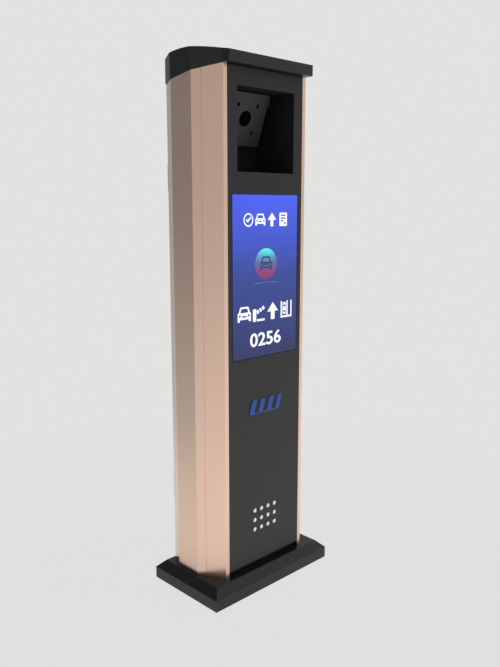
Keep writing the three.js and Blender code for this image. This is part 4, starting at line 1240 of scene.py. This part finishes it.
def fanBlade():
    # A cambered blade that points along +X, closed all round.
    rows, columns = doorFan["rows"], doorFan["columns"]
    pitch, root = math.radians(doorFan["pitch"]), doorFan["root"]
    grid = []
    for i in range(rows):
        share = i / (rows - 1)
        radius = root + (doorFan["tip"] - root) * share
        line = []
        for j in range(columns):
            t = 2 * j / (columns - 1) - 1
            along = t * doorFan["chord"] / 2
            angle = along * math.cos(pitch) / radius * (0.75 + 0.25 * share)
            y = -along * math.sin(pitch) + doorFan["camber"] * (1 - t * t)
            half = doorFan["thick"] * (0.25 + 0.75 * math.sqrt(1 - t * t * 0.96)) / 2
            line.append((radius * math.cos(angle), y, radius * math.sin(angle), half))
        grid.append(line)
    work = bmesh.new()
    sides = [[[work.verts.new((x, y + sign * half, z)) for x, y, z, half in line] for line in grid]
             for sign in (-1, 1)]
    for side in sides:
        for i in range(rows - 1):
            for j in range(columns - 1):
                work.faces.new((side[i][j], side[i + 1][j], side[i + 1][j + 1], side[i][j + 1]))
    rim = [(0, j) for j in range(columns)] + [(i, columns - 1) for i in range(1, rows)]
    rim += [(rows - 1, j) for j in reversed(range(columns - 1))] + [(i, 0) for i in reversed(range(1, rows - 1))]
    for (i, j), (k, m) in zip(rim, rim[1:] + rim[:1]):
        work.faces.new((sides[0][i][j], sides[0][k][m], sides[1][k][m], sides[1][i][j]))
    return cleaned(meshFrom(work, "blade"))


def addFan():
    axis = Vector(joints["fan_spin"]["pos_m"])
    at = (axis.x, 0, axis.z)
    low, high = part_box("fan_frame")
    bore, flange, inset = doorFan["bore"], doorFan["flange"], doorFan["holeInset"]
    holes = [circle(x, z, doorFan["hole"], 20) for x in (low.x + inset, high.x - inset)
             for z in (low.z + inset, high.z - inset)]
    holes.append(circle(axis.x, axis.z, bore, 72))
    plates = [slab(frontOf(low, high, 0, doorFan["corner"], 6), y, y + flange, "y", holes=holes)
              for y in (low.y, high.y - flange)]
    outer, y0, y1 = bore + doorFan["tube"], low.y + 0.0005, high.y - 0.0005
    tube = turned([(bore, y0), (outer, y0), (outer, y1), (bore, y1)], at, "y", 72)
    hub, edge, wall = doorFan["hub"], doorFan["hubEdge"], doorFan["spokeWall"]
    disc = turned([(0, low.y), (hub - edge, low.y), (hub, low.y + edge), (hub, low.y + wall),
                   (0, low.y + wall)], at, "y", 48)
    half = doorFan["spokeWidth"] / 2
    arm = brick(hub - 0.001, bore + 0.0008, low.y + 0.0001, low.y + wall - 0.0002, -half, half, 0.0003)
    arms = grown(arm, "ring", "plastic", count=doorFan["spokes"], middle=at)
    piece("fanFrame", joined(*plates, tube, disc, arms), "plastic", ("fan_frame",), "door")
    low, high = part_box("fan_rotor")
    blades = grown(fanBlade(), "ring", "plastic", count=doorFan["blades"],
                   middle=(axis.x, (low.y + high.y) / 2, axis.z))
    cup = turned([(0, low.y), (hub, low.y), (hub, high.y - 0.0015), (hub - 0.0004, high.y - 0.0004),
                  (hub - 0.0015, high.y), (0, high.y)], at, "y", 56)
    piece("fanRotor", joined(cup, blades), "plastic", ("fan_rotor",), "fan", angle=40)
    print("fan with", doorFan["blades"], "blades")


addBolts()
addRecessBox()
addCameraPlate()
addPivotScrews()
addDoor()
addHinges()
addLock()
addFan()


# The steelwork inside: frames, rails, chassis, straps and gland.

folded = {  # node: its piece's name and the rounding of its edges
    "bottom_frame": ("bottomFrame", 0.0005), "top_frame": ("topFrame", 0.0005),
    "gland_plate": ("glandPlate", 0.0005), "mount_rail_left": ("mountRail.left", 0.0003),
    "mount_rail_right": ("mountRail.right", 0.0003), "screen_strap_lower": ("screenStrap.lower", 0.0003),
    "screen_strap_upper": ("screenStrap.upper", 0.0003), "din_rail": ("dinRail", 0.0003),
}
chassis = {"corner": 0.004, "edge": 0.0003, "studs": 7, "studRadius": 0.0036, "studHeight": 0.0022,
           "studInset": 0.02}
gland = {"thread": 0.012, "pitch": 0.0015, "threadDepth": 0.0008, "bore": 0.007, "seatGap": 0.0003, "hex": 0.016,
         "hexHeight": 0.006, "crown": 0.014, "crownFall": 0.007}


def addSteelwork():
    for node, (name, edge) in folded.items():
        softened(node, name, "zinc", edge, segments=1)
    low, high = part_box("chassis_plate")
    plate = slab(frontOf(low, high, 0, chassis["corner"], 4), low.y, high.y, "y", chassis["edge"])
    piece("chassisPlate", plate, "zinc", ("chassis_plate",))
    across, inset = middleOf(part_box("mount_rail_left")).x, chassis["studInset"]
    stud = panScrew(chassis["studRadius"], chassis["studHeight"], turn=rearward)
    studs = rowOf(stud, "steel", 2, (across, high.y, low.z + inset), -2 * across, chassis["studs"],
                  (high.z - low.z - 2 * inset) / (chassis["studs"] - 1))
    piece("chassisScrews", studs, "steel", angle=35)
    print("frames, rails and chassis")


def addGland():
    low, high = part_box("cable_gland")
    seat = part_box("gland_plate")[1].z + gland["seatGap"]
    pitch, thread, bore = gland["pitch"], gland["thread"], gland["bore"]
    neck = thread - gland["threadDepth"]
    ridges = []
    z = low.z + pitch
    while z < seat - pitch:
        ridges += [(neck, z), (thread, z + pitch / 2)]
        z += pitch
    body = turned([(bore, low.z), (thread - 0.0012, low.z), *ridges, (neck, seat), (neck, seat + 0.001),
                   (bore, seat + 0.001)])
    top = seat + gland["hexHeight"]
    nut = slab(circle(0, 0, gland["hex"], 6), seat, top, "z", 0.0005, [circle(0, 0, bore, 40)])
    dome = [(gland["crown"] - gland["crownFall"] * (1 - math.cos(a)), top + (high.z - top) * math.sin(a))
            for a in quarter(6)]
    crown = turned([(bore, top - 0.0005), (gland["crown"], top - 0.0005), *dome, (bore, high.z)])
    piece("cableGland", joined(body, nut, crown), "plastic", ("cable_gland",))
    print("gland")


# What the panel carries behind it.

screenBack = {"inset": 0.012, "corner": 0.002, "trayCorner": 0.004, "trayDepth": 0.008, "trayEdge": 0.0012}
basket = {"rim": 0.011, "floor": 0.019, "wall": 0.002, "edge": 0.0006, "windows": 6, "windowCorner": 0.003,
          "window": [(-0.009, -0.008), (0.009, -0.008), (0.013, 0.009), (-0.013, 0.009)],
          "windowFrom": 0.02, "windowTo": 0.06}
cone = {"cap": 0.008, "capDepth": 0.004, "fold": 0.008, "wall": 0.003}
magnet = {"edge": 0.001, "groove": 0.0015, "grooveAt": 0.006, "grooveWidth": 0.003}


def addScreenBack():
    low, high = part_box("screen_module")
    frame = slab(frontOf(low, high, 0, screenBack["corner"], 3), low.y, high.y - screenBack["trayDepth"], "y",
                 0.0005)
    tray = slab(frontOf(low, high, screenBack["inset"], screenBack["trayCorner"]), low.y + 0.001, high.y, "y",
                screenBack["trayEdge"], steps=3)
    piece("screenModule", joined(frame, tray), "zinc", ("screen_module",))
    print("screen module")


def addSpeaker():
    low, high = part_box("speaker_basket")
    middle = middleOf((low, high))
    at = (middle.x, 0, middle.z)
    radius, wall, edge = (high.x - low.x) / 2, basket["wall"], basket["edge"]
    rim, floor = radius - basket["rim"], radius - basket["floor"]
    shell = turned([(0, high.y - wall), (floor - wall, high.y - wall), (rim - wall, low.y), (radius - edge, low.y),
                    (radius, low.y + edge), (radius, low.y + wall), (rim, low.y + wall), (floor, high.y),
                    (0, high.y)], at, "y", 64)
    windows = []
    for k in range(basket["windows"]):
        window = slab(rounded(basket["window"], basket["windowCorner"], 4), basket["windowFrom"],
                      basket["windowTo"], "y", 0.0001)
        turn = Matrix.Rotation(2 * math.pi * k / basket["windows"], 4, "Y")
        window.transform(Matrix.Translation(middle) @ turn @ Matrix.Rotation(math.radians(90), 4, "X"))
        windows.append(window)
    piece("speakerBasket", carved(shell, windows), "plastic", ("speaker_basket",))

    low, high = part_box("speaker_cone")
    rim, cap, fold, wall = (high.x - low.x) / 2, cone["cap"], cone["fold"], cone["wall"]
    front = [(0, high.y - cone["capDepth"]), (cap * 0.7, high.y - wall), (cap, high.y),
             (rim - fold, low.y + wall), (rim - fold * 0.75, low.y + 0.0005), (rim - wall, low.y),
             (rim, low.y + 0.001)]
    rear = [(rim, low.y + wall), (rim - fold * 0.75, low.y + wall), (rim - fold, low.y + 2 * wall),
            (cap + 0.002, high.y), (cap, high.y), (0, high.y)]
    piece("speakerCone", turned([*front, *rear], at, "y", 56), "rubber", ("speaker_cone",))

    low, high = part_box("speaker_magnet")
    radius, edge, groove = (high.x - low.x) / 2, magnet["edge"], magnet["groove"]
    y0, y1 = low.y + magnet["grooveAt"], low.y + magnet["grooveAt"] + magnet["grooveWidth"]
    profile = [(0, low.y), (radius - edge, low.y), (radius, low.y + edge), (radius, y0),
               (radius - groove, y0 + 0.0002), (radius - groove, y1 - 0.0002), (radius, y1),
               (radius, high.y - edge), (radius - edge, high.y), (0, high.y)]
    piece("speakerMagnet", turned(profile, at, "y", 56), "steel", ("speaker_magnet",))
    print("speaker")


# Electronics on the chassis.

controller = {"corner": 0.0025, "edge": 0.001, "seamProud": 0.0004, "seamInset": 0.004, "seamFront": 0.012,
              "seamEdge": 0.0003}
sink = {"fins": 9, "fin": 0.003, "taper": 0.0006, "base": 0.003, "round": 0.0009}
plugs = {"count": 3, "first": 0.030, "pitch": 0.045, "width": 0.036, "depth": 0.014, "height": 0.010,
         "bores": 6, "firstBore": 0.0145, "borePitch": 0.0058, "bore": 0.0018, "boreBack": 0.002,
         "boreDepth": 0.004}
ports = {"count": 2, "first": 0.022, "pitch": 0.020, "width": 0.016, "depth": 0.014, "height": 0.004,
         "openWidth": 0.0116, "openDepth": 0.010, "floor": 0.0005}
statusLamps = {"count": 4, "first": 0.012, "pitch": 0.007, "back": 0.008, "radius": 0.0016, "rim": 0.0006,
               "shoulder": 0.0013, "height": 0.0017}
sunk = 0.0002  # how far a fitting goes into what carries it


def addController():
    low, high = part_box("controller_case")
    corner, inset, proud = controller["corner"], controller["seamInset"], controller["seamProud"]
    case = slab(rectangle(low.x, high.x, low.y, high.y, corner, 4), low.z, high.z, edge=controller["edge"],
                steps=2)
    seam = slab(rectangle(low.x - proud, high.x + proud, low.y + inset, high.y - controller["seamFront"],
                          corner, 4), low.z + inset, high.z - inset, edge=controller["seamEdge"])
    piece("controllerCase", joined(case, seam), "plastic", ("controller_case",))

    start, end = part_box("controller_heatsink")
    fin, taper, base = sink["fin"], sink["taper"], start.y + sink["base"]
    pitch = (end.x - start.x - fin) / (sink["fins"] - 1)
    comb = [(start.x, start.y), (end.x, start.y)]
    for i in reversed(range(sink["fins"])):
        x = start.x + i * pitch
        comb += [(x + fin, base), (x + fin - taper, end.y), (x + taper, end.y), (x, base)]
    del comb[2], comb[-1]  # the outer fins stand on the base's ends
    fins = slab(rounded(comb, sink["round"], 3), start.z, end.z, edge=0.0002)
    piece("controllerHeatsink", fins, "sink", ("controller_heatsink",))

    y = (low.y + high.y) / 2
    made = []
    for k in range(plugs["count"]):
        x = low.x + plugs["first"] + k * plugs["pitch"]
        half, deep, foot = plugs["width"] / 2, plugs["depth"] / 2, low.z - plugs["height"]
        body = brick(x - half, x + half, y - deep, y + deep, foot, low.z + sunk, 0.0005)
        places = [x - plugs["firstBore"] + i * plugs["borePitch"] for i in range(plugs["bores"])]
        bores = [slab(circle(place, y - plugs["boreBack"], plugs["bore"], 12), foot - plugs["height"],
                      foot + plugs["boreDepth"], edge=0.0001) for place in places]
        made.append(carved(body, bores))
    piece("controllerPlugs", joined(*made), "green")

    made = []
    for k in range(ports["count"]):
        x = high.x - ports["first"] - k * ports["pitch"]
        half, deep, foot = ports["width"] / 2, ports["depth"] / 2, low.z - ports["height"]
        body = brick(x - half, x + half, y - deep, y + deep, foot, low.z + sunk, 0.0003)
        half, deep = ports["openWidth"] / 2, ports["openDepth"] / 2
        opening = brick(x - half, x + half, y - deep, y + deep, foot - ports["height"], low.z - ports["floor"],
                        0.0001)
        made.append(carved(body, [opening]))
    piece("controllerPorts", joined(*made), "steel")

    radius = statusLamps["radius"]
    made = []
    for k in range(statusLamps["count"]):
        lamp = turned([(0, 0), (radius, 0), (radius, statusLamps["rim"]),
                       (radius * 0.7, statusLamps["shoulder"]), (0, statusLamps["height"])], sides=16)
        place = (high.x - statusLamps["first"] - k * statusLamps["pitch"], high.y - statusLamps["back"], low.z)
        lamp.transform(Matrix.Translation(place) @ Matrix.Rotation(math.pi, 4, "X"))
        made.append(lamp)
    piece("controllerLamps", joined(*made), "lamp")
    print("controller")


supply = {"corner": 0.0015, "cover": 0.0012, "strip": 0.024, "mesh": 0.0075, "hole": 0.0024, "border": 0.006,
          "inset": 0.0006, "cheek": 0.0035, "screws": 7, "endGap": 0.012, "screwRadius": 0.0034,
          "screwHeight": 0.0022, "block": 0.008, "barrier": 0.014, "barrierWall": 0.0012, "stripFoot": 0.004,
          "stripTop": 0.002, "shadeInset": 0.0021, "shadeWall": 0.001, "shadeBehind": 0.0016}


def perforated(x0, x1, z0, z1, y0, y1, pitch, radius, finish):
    # A sheet of square tiles with a round hole in each, welded to one closed sheet.
    countX, countZ = max(1, int((x1 - x0) / pitch)), max(1, int((z1 - z0) / pitch))
    stepX, stepZ = (x1 - x0) / countX, (z1 - z0) / countZ
    sides = 8
    work = bmesh.new()
    inners = []
    for y in (y0, y1):
        inner = [work.verts.new((x, y, z)) for x, z in circle(0, 0, radius, sides)]
        outer = []
        for x, z in circle(0, 0, 1, sides):
            reach = max(abs(x), abs(z))
            outer.append(work.verts.new((x / reach * stepX / 2, y, z / reach * stepZ / 2)))
        inners.append(inner)
        for i in range(sides):
            j = (i + 1) % sides
            work.faces.new((inner[i], inner[j], outer[j], outer[i]))
    for i in range(sides):
        j = (i + 1) % sides
        work.faces.new((inners[0][i], inners[0][j], inners[1][j], inners[1][i]))
    sheet = rowOf(meshFrom(work, "tile"), finish, countX, (x0 + stepX / 2, 0, z0 + stepZ / 2), stepX, countZ,
                  stepZ)
    work = bmesh.new()
    work.from_mesh(sheet)
    bmesh.ops.remove_doubles(work, verts=work.verts, dist=weld["made"])
    bmesh.ops.bridge_loops(work, edges=[edge for edge in work.edges if edge.is_boundary])
    bmesh.ops.recalc_face_normals(work, faces=work.faces)
    work.to_mesh(sheet)
    work.free()
    return sheet


def addSupply():
    low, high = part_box("power_supply")
    cover, strip, shelf = supply["cover"], low.z + supply["strip"], (low.y + high.y) / 2
    corner, inset, cheek, border = (supply[key] for key in ("corner", "inset", "cheek", "border"))
    under = high.y - cover
    back = slab(frontOf(low, high, 0, corner, 3), low.y, shelf, "y")
    box = slab(rectangle(low.x + inset, high.x - inset, strip, high.z - 0.0004, 0.001, 3), low.y + 0.001,
               under - 0.002, "y", 0.0003)
    cheeks = [brick(x, x + cheek, shelf - 0.001, under, low.z + sunk, strip + 0.002, 0.0003)
              for x in (low.x, high.x - cheek)]
    piece("supplyCase", joined(back, box, *cheeks), "zinc", ("power_supply",))

    grid = (low.x + border, high.x - border, strip + border, high.z - border)
    sheet = perforated(*grid, under, high.y, supply["mesh"], supply["hole"], "zinc")
    outline = rectangle(low.x, high.x, strip, high.z, corner, 3)
    edging = slab(outline, under, high.y, "y", 0.0002, [rectangle(*grid)])
    hollow = rectangle(low.x + cover, high.x - cover, strip + cover, high.z - cover, 0.001, 3)
    skirt = slab(outline, shelf + sunk, under + 0.0001, "y", 0.0001, [hollow])
    piece("supplyCover", joined(sheet, edging, skirt), "zinc")
    inset, front = supply["shadeInset"], under - supply["shadeBehind"]
    shade = brick(low.x + inset, high.x - inset, front - supply["shadeWall"], front, strip + 0.002,
                  high.z - 0.002, 0.0002)
    piece("supplyInside", shade, "dark")

    z0, z1 = low.z + supply["stripFoot"], strip - supply["stripTop"]
    x0, x1 = low.x + supply["endGap"], high.x - supply["endGap"]
    count, top, half = supply["screws"], shelf + supply["block"], supply["barrierWall"] / 2
    step = (x1 - x0) / count
    base = brick(x0, x1, shelf - 0.0005, top, z0, z1)
    wall = brick(x0 - half, x0 + half, top - 0.0005, shelf + supply["barrier"], z0, z1, 0.0002)
    walls = rowOf(wall, "plastic", count + 1, (0, 0, 0), step)
    piece("supplyTerminals", joined(base, walls), "plastic")
    screw = panScrew(supply["screwRadius"], supply["screwHeight"], turn=rearward)
    piece("supplyScrews", rowOf(screw, "steel", count, (x0 + step / 2, top, (z0 + z1) / 2), step), "steel",
          angle=35)
    print("power supply")


terminals = {"pitch": 0.007, "count": 8, "width": 0.0066, "gap": 0.0002, "corner": 0.0015, "edge": 0.0003,
             "shoulder": 0.28, "foot": 0.004, "step": 0.012, "nose": 0.018, "screwRadius": 0.0022,
             "screwHeight": 0.0012, "screwInset": 0.006}
breaker = {"shoulder": 0.010, "screwRadius": 0.0032, "screwHeight": 0.0010, "screwX": 0.009, "screwZ": 0.010}


def addTerminals():
    low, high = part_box("terminal_blocks")
    pitch, count, gap, foot = (terminals[key] for key in ("pitch", "count", "gap", "foot"))
    shoulder = high.y - (high.y - low.y) * terminals["shoulder"]
    z0, z1, step, nose = low.z, high.z, terminals["step"], terminals["nose"]
    profile = rounded([(low.y, z0 + foot), (shoulder, z0), (shoulder, z0 + step), (high.y, z0 + nose),
                       (high.y, z1 - nose), (shoulder, z1 - step), (shoulder, z1), (low.y, z1 - foot)],
                      terminals["corner"], 3)
    for name, first, amount, finish in (("terminalBlocks", 0, count - 1, "grey"),
                                        ("earthTerminal", count - 1, 1, "green")):
        x = low.x + first * pitch + gap
        block = slab(profile, x, x + terminals["width"], "x", terminals["edge"])
        piece(name, rowOf(block, finish, amount, (0, 0, 0), pitch), finish,
              ("terminal_blocks",) if amount > 1 else ())
    screw = panScrew(terminals["screwRadius"], terminals["screwHeight"], turn=rearward)
    inset = terminals["screwInset"]
    screws = rowOf(screw, "copper", count, (low.x + pitch / 2, shoulder, z0 + inset), pitch, 2,
                   z1 - z0 - 2 * inset)
    piece("terminalScrews", screws, "copper", angle=35)


def addBreaker():
    softened("breaker", "breaker", "grey", 0.0008)
    softened("breaker_lever", "breakerLever", "plastic", 0.0006, 40, body="breaker_handle")
    low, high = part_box("breaker")
    x, z = breaker["screwX"], breaker["screwZ"]
    screw = panScrew(breaker["screwRadius"], breaker["screwHeight"], turn=rearward)
    screws = rowOf(screw, "steel", 2, (low.x + x, high.y - breaker["shoulder"], low.z + z), 2 * x, 2,
                   high.z - low.z - 2 * z)
    piece("breakerScrews", screws, "steel", angle=35)
    print("terminals and breaker")


addSteelwork()
addGland()
addScreenBack()
addSpeaker()
addController()
addSupply()
addTerminals()
addBreaker()
